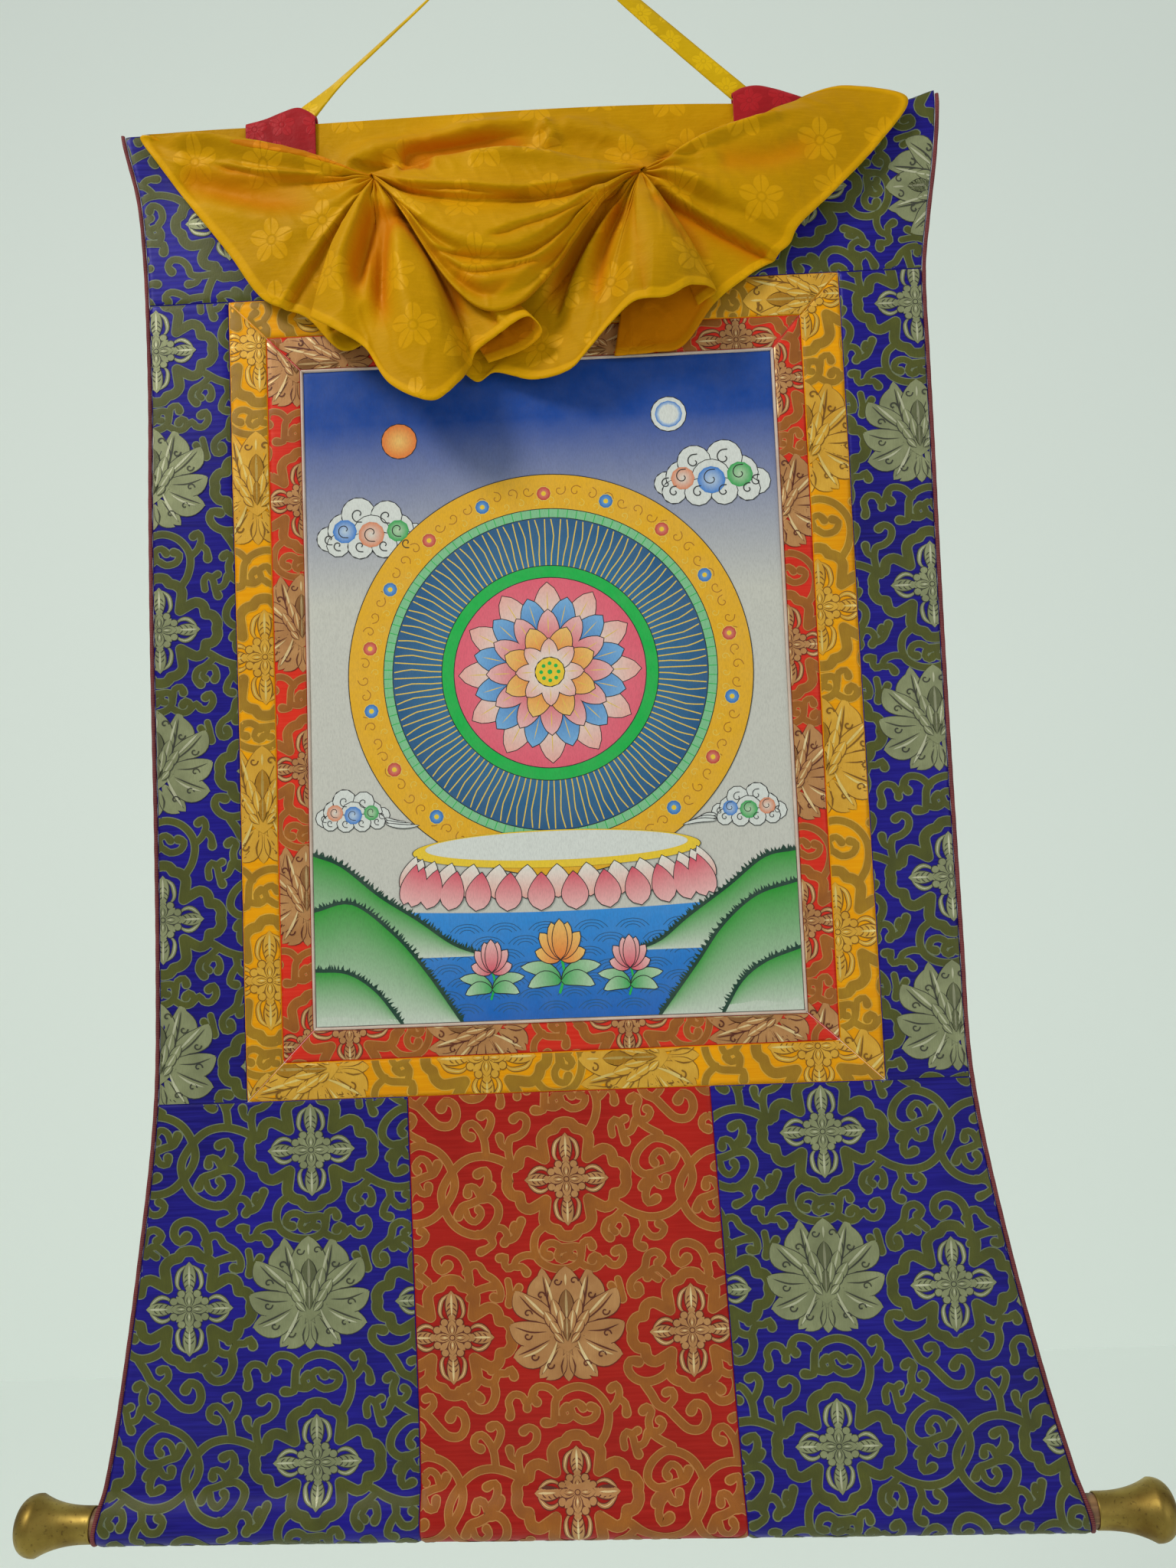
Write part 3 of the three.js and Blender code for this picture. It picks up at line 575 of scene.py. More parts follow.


# inside is the painted shade colour: the deeper orange the silk is painted deep in its folds, standing in for
# light passing through and bouncing between the silk
def damaskSilk(
    name, colour, shade, inside, cell=0.046, petals=5, size=0.33, folds=True, tint=(1, 0.8, 0.3), gloss=0.36
):
    material, tree, shader = newMaterial(name)
    cloudy = stretch(tree, noiseAt(tree, 7, 3), 0.32, 0.68)
    body = mixColours(tree, cloudy, shade, colour)
    mask, maths = damaskMask(tree, cell, petals, size)
    bright = [min(c * 1.32 + 0.004, 1) for c in colour]
    body = mixColours(tree, maths("MULTIPLY", mask, 0.42), body, bright)
    slubs = stretch(tree, noiseAt(tree, (90, 90, 900), 3), 0.45, 0.75)
    body = mixColours(tree, maths("MULTIPLY", slubs, 0.18), body, bright)
    # painted shade: the colour layer paints the silk towards the inside colour deep in the folds and by the
    # gathers; where the layer runs negative, along the hem, the silk is painted lighter
    if folds:
        foldShade = addNode(tree, "Attribute", {"attribute_name": "fold"}).outputs["Fac"]
        patchy = maths("MULTIPLY_ADD", noiseAt(tree, 22, 3), 3.2, -1.6)
        body = mixColours(tree, stretch(tree, maths("ADD", foldShade, patchy), 0.2, 5.5, 0, 0.94), body, inside)
        body = mixColours(tree, stretch(tree, foldShade, -0.6, -2.4, 0, 0.55), body, (0.80, 0.40, 0.003))
    tree.links.new(stretch(tree, mask, 0, 1, gloss + 0.14, gloss + 0.03), shader.inputs["Roughness"])
    finishShader(tree, shader, body, {
        "Specular IOR Level": 0.22, "Specular Tint": (*tint, 1),
        "Sheen Weight": 0.06, "Sheen Tint": (*tint, 1),
    })
    bumps(tree, shader, [
        (mask, 0.25, 0.0006),
        (noiseAt(tree, 34, 5), 0.5, 0.0026),
        (noiseAt(tree, (110, 60, 150), 4, distortion=0.8), 0.3, 0.0011),
        (noiseAt(tree, 1300, 2), 0.12, 0.0002),
    ])
    return material


# The third colour of each veil silk is painted shade, the deeper orange painted deep in the folds.
veilSilk = damaskSilk(
    "yellow veil damask", (0.61, 0.300, 0.001), (0.46, 0.222, 0.001), (0.58, 0.175, 0.001),
    tint=(1, 0.7, 0.12), gloss=0.41,
)
# The wrong side, on the back faces, is a deeper orange copy of the silk: the wrong side's own colour, and
# painted light shining through the thin silk where the inside of a fold shows.
veilWrongSideAndThroughLight = damaskSilk(
    "veil silk, wrong side", (0.66, 0.22, 0.002), (0.50, 0.15, 0.001), (0.42, 0.12, 0.001),
    tint=(1, 0.6, 0.12), gloss=0.46,
)
tabSilk = damaskSilk(
    "crimson tab damask", (0.42, 0.012, 0.018), (0.3, 0.008, 0.012), (0.2, 0.004, 0.006),
    0.021, 5, 0.42, False, (1, 0.5, 0.5), 0.4,
)
ribbonSilk = damaskSilk(
    "yellow ribbon damask", (0.68, 0.42, 0.003), (0.5, 0.3, 0.002), (0.5, 0.2, 0.001), 0.019, 5, 0.42, False,
)


def turnedWood():
    # grain running along the rod
    material, tree, shader = newMaterial("rod wood")
    grain = noiseAt(tree, (5, 150, 150), 5, distortion=0.6)
    body = mixColours(tree, stretch(tree, grain, 0.35, 0.68), (0.11, 0.045, 0.014), (0.34, 0.18, 0.07))
    pores = stretch(tree, noiseAt(tree, (40, 900, 900), 3), 0.58, 0.7, 0, 0.6)
    body = mixColours(tree, pores, body, (0.05, 0.02, 0.008))
    finishShader(tree, shader, body, {"Roughness": 0.52})
    bumps(tree, shader, [(grain, 0.25, 0.0005), (pores, -0.3, 0.0002)])
    return material


def agedMetal():
    # brass browned with handling, with the fine turning lines of the lathe round its axis
    material, tree, shader = newMaterial("aged brass")
    patina = stretch(tree, noiseAt(tree, 26, 6, distortion=0.5), 0.36, 0.68)
    body = mixColours(tree, patina, (0.17, 0.10, 0.018), (0.43, 0.31, 0.072))
    specks = stretch(tree, noiseAt(tree, 420, 3), 0.6, 0.72, 0, 0.6)
    body = mixColours(tree, specks, body, (0.07, 0.035, 0.014))
    finishShader(tree, shader, body, {"Metallic": 0.92})
    tree.links.new(stretch(tree, patina, 0, 1, 0.55, 0.38), shader.inputs["Roughness"])
    turning = noiseAt(tree, (2600, 4, 4), 2)
    bumps(tree, shader, [
        (turning, 0.16, 0.0002),
        (noiseAt(tree, 90, 4), 0.16, 0.0008),
        (specks, -0.2, 0.0002),
    ])
    return material


rodWood = turnedWood()
agedBrass = agedMetal()


# ---- Brocade chart: one repeat of the woven pattern, in millimetres from a cross's middle ----

brocade = {
    "repeatAcross": 158,
    "repeatDown": 205,
    "lotusPlace": (-3, 97),
    "ringTurn": (-158, 10),
    "edgeThread": 0.7,
    "scrollWiden": 1.1,
    "frameBand": 7.7,
    "edgeHeight": 0.15,
    "scrollHeight": 0.27,
    "step": 2.5,
    "bulb": 1.28,
}
# The fourth kind is lighter thread with painted glints; the fifth, the dark lines, is outline thread with
# painted shade round the raised figures.
threadKinds = ["edge", "scroll", "flower", "bright", "groove"]

# The quatrefoil frame's band, a quarter of it: each line is one scallop.
frameQuarter = [
    [(0, 38), (4.2, 37.2), (7, 33.8)],
    [(7, 33.6), (12, 32), (15.6, 27.5), (15, 20), (14.2, 13.8)],
    [(14.2, 13.8), (19, 16.6), (25, 19.4), (30, 17), (31.5, 11.3)],
    [(31.5, 10.6), (36.4, 9.6), (39.6, 4.6), (39, 0)],
]

# Scrolls as width and the points their middle line passes, ending in a bulb.
ringScroll = [
    (5.4, (-34, -8), (-44, -14), (-56, -17), (-68, -14), (-78, -4), (-83.5, 8), (-80, 22), (-72, 31.5),
     (-60, 35.5), (-51.5, 31), (-46.5, 24), (-46, 17), (-50.5, 12), (-57, 11)),
    (5.2, (-58, 12), (-57, 7), (-53.5, 3), (-52, -3), (-54, -7.5), (-59, -5)),
    (4.8, (-58, 9), (-61, 4), (-65.5, 3.5), (-66, 8)),
    (4.8, (-56, 6), (-52, 7), (-50, 3)),
    (5.2, (-58, 12), (-64, 14.5), (-70, 16.5), (-72.5, 22.5)),
    (4.6, (-68, 18), (-66, 24), (-61.5, 26.5), (-57.5, 22), (-59, 18.5)),
]
scrolls = [
    # under the ring
    (4.8, (-60, 34.5), (-53, 36.5), (-50, 41), (-54, 44.5), (-58.5, 46.5)),
    (4.8, (-51.5, 38.5), (-48.5, 32), (-43.5, 31.5), (-40.5, 36), (-42.5, 41)),
    (4.8, (-41.5, 40), (-36, 38), (-32.8, 33), (-31, 27)),
    (4.2, (-34, 36), (-37, 33), (-35.5, 29.5)),
    # the bowl below a cross, its cloud and its side curls
    (5.2, (-16, 31), (-21.5, 36.5), (-23, 45), (-20, 53), (-12, 58), (-2, 59), (5.5, 56), (8, 50), (6, 45),
     (0, 45), (-5, 46)),
    (5, (-4, 46), (-10, 42.2), (-15.5, 43.5), (-17, 48.5), (-13, 50.5)),
    (4.6, (-6, 46), (-8, 50.5), (-5, 53.5), (-2, 51)),
    (4.4, (1, 46), (0, 50.5), (3, 51.5)),
    (4.8, (-21, 50.5), (-28, 49.5), (-34.5, 52), (-36, 57), (-31.5, 57), (-28.5, 61)),
    (4.8, (-36, 56), (-41, 58), (-43, 54), (-42, 50.5), (-46, 51)),
    (4.8, (8.5, 48), (9.5, 42.5), (14, 41), (15.5, 45)),
    (5, (7, 55.5), (13, 59), (18.5, 58.5), (20.5, 54), (17, 51), (15, 54)),
    (5, (19, 58), (24, 53.5), (27, 57), (32, 57.5), (35.5, 52.5), (34, 46.8), (30.5, 49)),
    # hanging from the arc right of a cross
    (5, (36, 22), (31, 26.5), (25.5, 29.5), (24, 35.5), (27.5, 39.5)),
    (4.8, (31, 27.5), (36.5, 28), (38.3, 33), (37, 36.5)),
    (4.2, (31, 29), (28.8, 33), (31, 36)),
    (5, (49, 27), (50, 33), (46.5, 38.5), (45, 44.5), (49, 46.5)),
    (4.8, (50, 34), (54.5, 39.5), (60.5, 39.5), (63.5, 34.5), (60, 31.5)),
    # above a half-way cross
    (5.6, (-66.5, 66), (-68, 56), (-72, 48.5), (-80, 44.8), (-87, 47.5), (-88.5, 54), (-84.5, 58.5),
     (-80.5, 55)),
    (5, (-69, 60), (-64, 55), (-59.5, 56), (-56.5, 61), (-50.5, 65), (-46.5, 71), (-46.5, 77.5),
     (-50.5, 76.5)),
    (5, (-67, 77), (-62.5, 72.5), (-55.5, 70), (-50, 69)),
    (4.6, (-41, 66), (-40, 73), (-40.5, 81)),
    (4.4, (-40.5, 76), (-36.5, 74), (-33.8, 70.5)),
    (4.6, (31.5, 67), (33, 73), (34, 80)),
    (4.4, (33.5, 75), (29.5, 74), (27, 71)),
    (5, (58, 68), (51, 63.5), (43.5, 65.5), (39.5, 71), (41, 77.5), (46, 76.5), (44.5, 72.5)),
    (5, (45, 65), (49.5, 60), (51.5, 52.5), (57, 50), (61.5, 54), (58.5, 57.5)),
    (5, (-94, 66), (-100, 61), (-104.5, 62.5), (-107, 66.5)),
    # below a half-way cross
    (5, (-64, 127.5), (-58, 132), (-52.5, 132), (-49.5, 126.5), (-44, 126), (-40.5, 123.5), (-39, 128)),
    (4.4, (-49, 127), (-51, 124), (-54, 124.5)),
    (5.6, (-52.5, 132), (-51.5, 140), (-55.5, 148), (-63, 149.5), (-68, 144.5), (-65.5, 139.5), (-62, 142.5)),
    (5.6, (65, 126), (57, 132.5), (48, 134.8), (40, 132), (35.8, 126), (37.5, 120.5), (43, 121.5)),
    (5.6, (46, 136), (50.5, 143), (54.5, 150), (61, 153.5), (67, 160), (74, 166.5), (82, 166.8), (86, 160.5),
     (84.5, 153), (79, 150.5), (76, 155)),
    (4.8, (60, 152), (65, 147), (64, 141.5), (60, 142.5)),
    (4.8, (-68, 143), (-73, 141), (-75.5, 137.5)),
    # the arch above the next cross
    (5.2, (16, 173), (20, 166), (22, 156), (20, 147), (13, 139), (3, 135.5), (-6.5, 138), (-12, 144),
     (-13, 152), (-14, 158.5), (-19.5, 158.5)),
    (5, (-12, 156), (-6, 157), (-1, 154.5), (5, 158), (12, 156.5), (14.5, 151), (10.5, 149)),
    (4.8, (-6, 157), (-8, 151.5), (-5, 148.5)),
    (4.8, (-1, 154.5), (-2.5, 148.5), (2, 146), (5.5, 149.5)),
    (4.8, (21.5, 153), (27, 147.5), (29.5, 141), (27.5, 135.5), (24.2, 138)),
    (4.8, (28.5, 144), (33, 148), (33.8, 154.5)),
    (5, (-10, 142), (-16, 136), (-23.5, 135), (-27.5, 140), (-24.5, 145)),
    (4.8, (-26, 139), (-31, 145.5), (-34, 141), (-39.5, 140), (-43, 144.5), (-42, 150), (-42.5, 154)),
    (4.4, (-31, 144), (-31, 149)),
    # sprouts on the ring and beside the frame
    (5, (-53, 186), (-54, 177), (-57, 170.5), (-61.5, 166), (-66, 168), (-66.3, 173), (-62.5, 175)),
    (5, (-54.5, 176), (-50.5, 170), (-48.8, 163.5), (-51.5, 159.5), (-55.5, 161)),
    (5, (-37, 192), (-38, 184), (-36.5, 177.5), (-31, 175.5), (-26.2, 171), (-25.5, 164.5), (-30, 161.5),
     (-34, 164)),
    (4.6, (-38, 184), (-42.5, 181), (-43.5, 175.5)),
    (5, (63, 177), (55, 172.5), (49.5, 167.5), (48, 160), (50, 154), (47, 151), (44.5, 153.5)),
    (4.6, (49.5, 166.5), (54.5, 167), (57.5, 162.5), (55, 160)),
    (4.8, (31.5, 176.5), (31, 170.5), (33.5, 166.5), (37, 169.5), (38.5, 176.5), (40.5, 181.5)),
    (4.8, (39, 176), (44, 174.5), (47.5, 167.5)),
    (4.4, (36.5, 168.5), (40.5, 166)),
]


def curveThrough(points, step):
    # a smooth line through the points, as (x, y) samples about "step" apart
    chain = [Vector(p) for p in points]
    chain = [chain[0] * 2 - chain[1], *chain, chain[-1] * 2 - chain[-2]]
    line = []
    for before, low, high, after in zip(chain, chain[1:], chain[2:], chain[3:]):
        count = max(2, math.ceil((high - low).length / step))
        for i in range(count):
            t = i / count
            line.append(
                0.5 * ((2 * low) + (high - before) * t + (2 * before - 5 * low + 4 * high - after) * t * t
                       + (3 * low - before - 3 * high + after) * t**3)
            )
    line.append(chain[-2])
    return line


def bandShape(length, width, bulb):
    def half(run):
        swell = mix(1, bulb, smooth(length - 4.5, length - 1, run))
        inside = width / 2 * swell
        if run < 0:
            return math.sqrt(max(inside**2 - run**2, 0))
        if run > length:
            return math.sqrt(max(inside**2 - (run - length) ** 2, 0))
        return inside

    return half


def leafShape(length, width, bulb):
    return lambda run: width / 2 * max(math.sin(math.pi * min(max(run / length, 0), 1) ** 1.12), 0) ** 0.72


def weaveStroke(bm, uv, points, width, height, kind, shape=bandShape, bulb=1.0, step=None, crown=0.0):
    line = curveThrough(points, step or brocade["step"])
    runs = [0]
    for a, b in zip(line, line[1:]):
        runs.append(runs[-1] + (b - a).length)
    total = runs[-1]
    stops = list(zip(runs, line))
    if shape is bandShape:
        startWay = (line[0] - line[1]).normalized()
        endWay = (line[-1] - line[-2]).normalized()
        reach = width / 2
        heads = [(-reach * k, line[0] + startWay * reach * k) for k in (0.99, 0.8, 0.45)]
        tails = [(total + reach * bulb * k, line[-1] + endWay * reach * bulb * k) for k in (0.45, 0.8, 0.99)]
        stops = heads + stops + tails
    half = shape(total, width, bulb)
    made = bmesh.ops.create_grid(bm, x_segments=2, y_segments=len(stops) - 1, size=0.5)["verts"]
    last = len(stops) - 1
    for vert in made:
        side = round(vert.co.x * 2)
        index = round((vert.co.y + 0.5) * last)
        run, centre = stops[index]
        along = (stops[min(index + 1, last)][1] - stops[max(index - 1, 0)][1]).normalized()
        spot = centre + Vector((-along.y, along.x)) * (side * half(run))
        vert.co = (spot.x, -spot.y, height + crown * (1 - abs(side)))
    for face in {face for vert in made for face in vert.link_faces}:
        face.material_index = kind if isinstance(kind, int) else threadKinds.index(kind)
        for loop in face.loops:
            loop[uv].uv = (loop.vert.co.x * mm, loop.vert.co.y * mm)


def weaveBand(bm, uv, points, width, bulb=None):
    bulb = brocade["bulb"] if bulb is None else bulb
    edge = brocade["edgeThread"] * 2
    weaveStroke(bm, uv, points, width, brocade["edgeHeight"], "edge", bulb=bulb)
    weaveStroke(bm, uv, points, width - edge, brocade["scrollHeight"], "scroll", bulb=bulb, crown=0.07)


def mirrored(points, acrossSign, downSign, middle=(0, 0), swap=False):
    spots = []
    for x, y in points:
        if swap:
            x, y = y, x
        spots.append((middle[0] + x * acrossSign, middle[1] + y * downSign))
    return spots


def weaveFrame(bm, uv, middle):
    for acrossSign in (1, -1):
        for downSign in (1, -1):
            for scallop in frameQuarter:
                weaveBand(bm, uv, mirrored(scallop, acrossSign, downSign, middle), brocade["frameBand"], 1)


def weaveLeaf(bm, uv, points, width, height, kind="flower", rim=1.5, step=2.1):
    inside = max(width - rim, width * 0.6)
    # the dark rim round the leaf is outline thread with painted shade round the raised figure
    weaveStroke(bm, uv, points, width, height, "groove", leafShape, step=step)
    weaveStroke(bm, uv, points, inside, height + 0.03, kind, leafShape, step=step, crown=0.02)


def weaveDot(bm, uv, spot, radius, height, kind):
    x, y = spot
    # a dark rim of outline thread with painted shade round the dot
    weaveStroke(bm, uv, [(x - 0.05, y), (x + 0.05, y)], radius * 2 + 0.6, height, "groove")
    weaveStroke(bm, uv, [(x - 0.05, y), (x + 0.05, y)], radius * 2 - 0.6, height + 0.03, kind)


def weaveCross(bm, uv, middle):
    def spots(points, side, sign, swap):
        # an arm's points: side mirrors them across the arm, sign turns the arm round
        across, down = (sign, side) if swap else (side, sign)
        return mirrored(points, across, down, middle, swap)

    for swap, reach in ((False, 31), (True, 28)):
        for sign in (1, -1):
            for side in (1, -1):
                crescent = [(3.2, 11), (6.6, 13.5), (7.9, 17.5)]
                crescent += [(6.6, reach - 7), (3.4, reach - 3.6), (1, reach - 2)]
                bowed = spots(crescent, side, sign, swap)
                # the dark rim under the crescent is outline thread with painted shade round the raised figure
                weaveStroke(bm, uv, bowed, 3.7, 0.2, "groove", leafShape, step=2.1)
                weaveStroke(bm, uv, bowed, 2.5, 0.24, "flower", leafShape, step=2.1, crown=0.05)
                # a painted glint down the crescent's middle
                weaveStroke(bm, uv, bowed[1:5], 0.6, 0.31, "bright", leafShape, step=2.1)
            weaveLeaf(bm, uv, spots([(0, 9), (0, reach)], 1, sign, swap), 9.4, 0.26)
            for start, wide in ((13, 3.2), (16.5, 3.6), (20, 3)):
                for side in (1, -1):
                    rib = [(0, start + 3.2), (wide * 0.6, start + 2), (wide, start)]
                    rib = spots(rib, side, sign, swap)
                    weaveStroke(bm, uv, rib, 0.8, 0.33, "groove", leafShape, step=1.2)
            spine = spots([(0, 14), (0, reach - 2)], 1, sign, swap)
            # a painted glint down the bud's spine
            weaveStroke(bm, uv, spine, 1.5, 0.34, "bright", leafShape, step=2.1)
            for x in (-5, 5):
                weaveDot(bm, uv, spots([(x, 10)], 1, sign, swap)[0], 2.6, 0.4, "flower")
    for angle in range(0, 180, 45):
        long = 14 if angle % 90 == 0 else 11.6
        way = Vector((math.cos(math.radians(angle)), math.sin(math.radians(angle)))) * long
        ends = [(middle[0] - way.x, middle[1] - way.y), (middle[0] + way.x, middle[1] + way.y)]
        weaveStroke(bm, uv, ends, 14.5, 0.37, "flower", leafShape, step=2.1)
    for swap in (False, True):
        for sign in (1, -1):
            weaveLeaf(bm, uv, spots([(0, 0.6), (0, 12)], 1, sign, swap), 7.4, 0.47, "flower", 1.5)
            weaveLeaf(bm, uv, spots([(0, 1.6), (0, 9)], 1, sign, swap), 3.8, 0.54, "flower", 1.2)
            # a painted glint down each middle petal
            weaveStroke(bm, uv, spots([(0, 3), (0, 7)], 1, sign, swap), 1.0, 0.6, "bright", leafShape)
        for side in (1, -1):
            lean = -1 if swap else 1
            slanted = spots([(side * 2, 2 * lean), (side * 8.4, 8.4 * lean)], 1, 1, False)
            weaveLeaf(bm, uv, slanted, 5.4, 0.41, "flower", 1.4)
    weaveDot(bm, uv, middle, 1.6, 0.62, "flower")


# Lotus petals right of the middle line, as width and the line from root to tip.
lotusPetals = [
    (17, (2, -6), (11, -20), (14.5, -30), (15.5, -39)),
    (15, (3, 12), (9, 21), (19, 32.5)),
    (19, (4, -2), (19, -11), (27, -16.5), (33.5, -24.5)),
    (19, (3, 5), (18, 12), (27, 15.5), (36, 19)),
    (17, (4, 2), (20, 2), (28, 0.5), (37.5, -2.5)),
]
lotusBellies = [
    # the fuller outer lobe of each petal, laid under it
    (9, (8, -6), (19, -15), (21.5, -24), (16.5, -35)),
    (7.5, (1, 16), (6, 28.5), (15, 33.5)),
    (9, (12, -5), (25.5, -9.5), (31.5, -14), (34, -23.5)),
    (8.5, (6, 10), (18, 20.5), (26, 22.5), (35.5, 19)),
    (8.5, (10, 5), (24, 8), (31.5, 6), (38, -2)),
]
# Dark lines between the petals: outline thread with painted shade.
lotusOutlineShade = [
    (1.1, (9, -8), (12.5, -19), (15, -34)),
    (1.1, (11, -3), (22, -11.5), (31, -21.5)),
    (1.1, (13, 2.5), (24, 2.5), (34.5, -1)),
    (1.1, (11, 7.5), (22, 13), (33, 17.5)),
    (1.1, (6, 14), (11.5, 22), (18, 30.5)),
    (1.0, (2.5, 19), (4.5, 25), (3.6, 31)),
]
# Painted highlights on the petals.
lotusHighlights = [
    (1.7, (12, -6), (19, -13), (28, -22)),
    (1.6, (8, -12), (10, -21), (13.5, -33)),
    (2.0, (6.5, 8), (10, 17), (17, 29.5)),
    (1.5, (12, 9.5), (20, 15), (30, 18.8)),
]
lotusHeart = [
    (10.5, (0, -2), (0, -25)),
    (8.0, (4, 0), (9, -19)),
    (7.4, (6, 3), (14.5, -11)),
    (7.0, (4, 6), (11, -5)),
    (6.6, (2, 4), (4.5, -12)),
    (6.4, (0, 9), (0, -7)),
    (5.4, (2.5, 10), (8.5, 3)),
]
lotusCurls = [(16.5, -21, 1), (25.5, -9.5, 1), (26, 5, -1), (22, 18.5, -1), (12, 24, -1), (5.5, -30, -1)]


def curlSpots(middle, size, hand, turn, pace, fade):
    # nine points of a small curl, drawn in as it turns
    spots = []
    for step in range(9):
        radius = size * (1 - step / fade)
        angle = turn + step * pace
        spots.append((middle[0] + radius * math.cos(angle), middle[1] + hand * radius * math.sin(angle)))
    return spots


def weaveCurl(bm, uv, middle, size, hand, height):
    weaveStroke(bm, uv, curlSpots(middle, size, hand, 0, 0.62, 11), 0.95, height, "groove", step=1.4)


def weaveLotus(bm, uv, middle):
    def side(points, sign):
        return mirrored(points, sign, 1, middle)

    weaveStroke(bm, uv, side([(0, 23), (0, -27)], 1), 48, 0.19, "flower", leafShape, step=2.5)
    weaveLeaf(bm, uv, side([(0, 18), (0, 35)], 1), 9, 0.2)
    height = 0.2
    for (width, *points), (bellyWidth, *belly) in zip(lotusPetals, lotusBellies):
        height += 0.05
        for sign in (1, -1):
            weaveLeaf(bm, uv, side(belly, sign), bellyWidth, height - 0.015, rim=1.2, step=2.9)
            weaveLeaf(bm, uv, side(points, sign), width * 0.74, height, rim=1.2, step=2.5)
    weaveLeaf(bm, uv, side([(0, 6), (0, -40)], 1), 25, 0.5, step=2.9)
    weaveStroke(bm, uv, side([(0, 16), (0, -17)], 1), 26, 0.56, "flower", leafShape, step=2.2)
    # the dark lines are outline thread with painted shade between the petals; the bright ones are painted
    # highlights
    for lines, level, kind, step in ((lotusOutlineShade, 0.6, "groove", 3.2), (lotusHighlights, 0.62, "bright", 2.6)):
        for width, *points in lines:
            for sign in (1, -1):
                weaveStroke(bm, uv, side(points, sign), width, level, kind, leafShape, step=step)
    for x, y, hand in lotusCurls:
        for sign in (1, -1):
            weaveCurl(bm, uv, (middle[0] + x * sign, middle[1] + y), 2.9, hand * sign, 0.62)
    height = 0.62
    for width, *points in lotusHeart:
        for sign in (1, -1):
            petal = side(points, sign)
            weaveLeaf(bm, uv, petal, width, height, "flower", 1.4, 2.5)
            # a painted glint down each heart petal
            weaveStroke(bm, uv, petal, width * 0.17, height + 0.06, "bright", leafShape, step=2.9)
        height += 0.04
    # a painted glint down the middle
    weaveStroke(bm, uv, side([(0, -27), (0, -35)], 1), 1.4, 0.6, "bright", leafShape)


def weaveRepeat():
    bm = bmesh.new()
    uv = bm.loops.layers.uv.new("flat")
    half = (brocade["repeatAcross"] / 2, brocade["repeatDown"] / 2)
    weaveFrame(bm, uv, (0, 0))
    weaveFrame(bm, uv, half)
    weaveCross(bm, uv, (0, 0))
    weaveCross(bm, uv, half)
    weaveLotus(bm, uv, brocade["lotusPlace"])
    widen = brocade["scrollWiden"]
    turnX, turnY = brocade["ringTurn"]
    for width, *points in ringScroll:
        weaveBand(bm, uv, points, width * widen)
        # the ring's other half is the same scroll, turned half round
        weaveBand(bm, uv, [(turnX - x, turnY - y) for x, y in points], width * widen)
    for width, *points in scrolls:
        weaveBand(bm, uv, points, width * widen)
    mesh = bpy.data.meshes.new("brocade-repeat")
    bm.to_mesh(mesh)
    bm.free()
    return mesh


repeatMesh = weaveRepeat()
print("brocade charted,", len(repeatMesh.polygons), "faces a repeat")


def trimFlat(bm, spot, outwards):
    bmesh.ops.bisect_plane(
        bm, geom=bm.verts[:] + bm.edges[:] + bm.faces[:], dist=0.001, plane_co=(*spot, 0),
        plane_no=(*outwards, 0), clear_outer=True,
    )


def trimAcross(bm, edgeAt, outwards):
    # cuts along an upright curved edge, given as x from the cloth's length down
    for vert in bm.verts:
        vert.co.x -= edgeAt(-vert.co.y)
    trimFlat(bm, (0, 0), (outwards, 0))
    for vert in bm.verts:
        vert.co.x += edgeAt(-vert.co.y)


def trimTop(bm, edgeAt):
    for vert in bm.verts:
        vert.co.y -= edgeAt(vert.co.x)
    trimFlat(bm, (0, 0), (0, 1))
    for vert in bm.verts:
        vert.co.y += edgeAt(vert.co.x)


def weaveCloth(name, cross, scale, turned, box, trims, place, distance, threads, slotName):
    # fills a panel with repeats. cross is the middle of one cross, box the panel's flat bounds
    bm = bmesh.new()
    left, right, top, foot = box
    across, down = brocade["repeatAcross"] * scale[0], brocade["repeatDown"] * scale[1]
    if turned:
        across, down = brocade["repeatDown"] * scale[0], brocade["repeatAcross"] * scale[1]
    columns = range(math.floor((left - cross[0]) / across) - 1, math.ceil((right - cross[0]) / across) + 2)
    lines = range(math.floor((top - cross[1]) / down) - 1, math.ceil((foot - cross[1]) / down) + 2)
    turn = Matrix.Rotation(math.pi / 2 if turned else 0, 4, "Z")
    size = Matrix.Diagonal((*scale, 1, 1))
    tileMesh = bpy.data.meshes.new("tile")
    for column in columns:
        for line in lines:
            spot = Vector((cross[0] + column * across, -(cross[1] + line * down), 0))
            tile = bmesh.new()
            tile.from_mesh(repeatMesh)
            tile.transform(Matrix.Translation(spot) @ size @ turn)
            away = [
                vert for vert in tile.verts
                if not (left - 8 < vert.co.x < right + 8 and top - 8 < -vert.co.y < foot + 8)
            ]
            bmesh.ops.delete(tile, geom=away, context="VERTS")
            tile.to_mesh(tileMesh)
            tile.free()
            bm.from_mesh(tileMesh)
    bpy.data.meshes.remove(tileMesh)
    for trim in trims:
        trim(bm)
    front = scroll["clothHalf"]
    for vert in bm.verts:
        x, length, height = vert.co.x, -vert.co.y, vert.co.z
        z = lowerZ(x, length) if place is lowerPlace else -length
        vert.co = place(x, length, front + height + panelOut(x, z, distance(x, z)))
    piece = addPiece(f"{name} weave", bm, threads[0], (), slotName)
    for thread in threads[1:]:
        piece.data.materials.append(thread)
    return piece


# ---- Panels ----


def edgeDip(distance):
    return scroll["seamDip"] * math.exp(-((max(distance, 0) / scroll["seamWidth"]) ** 2))


def pucker(x, z, distance):
    fade = math.exp(-max(distance, 0) / 7)
    return scroll["puckerDepth"] * fade * noise.noise(Vector((x / 4.5, z / 4.5, 1.7)))


def panelOut(x, z, distance):
    return pucker(x, z, distance) - edgeDip(distance)


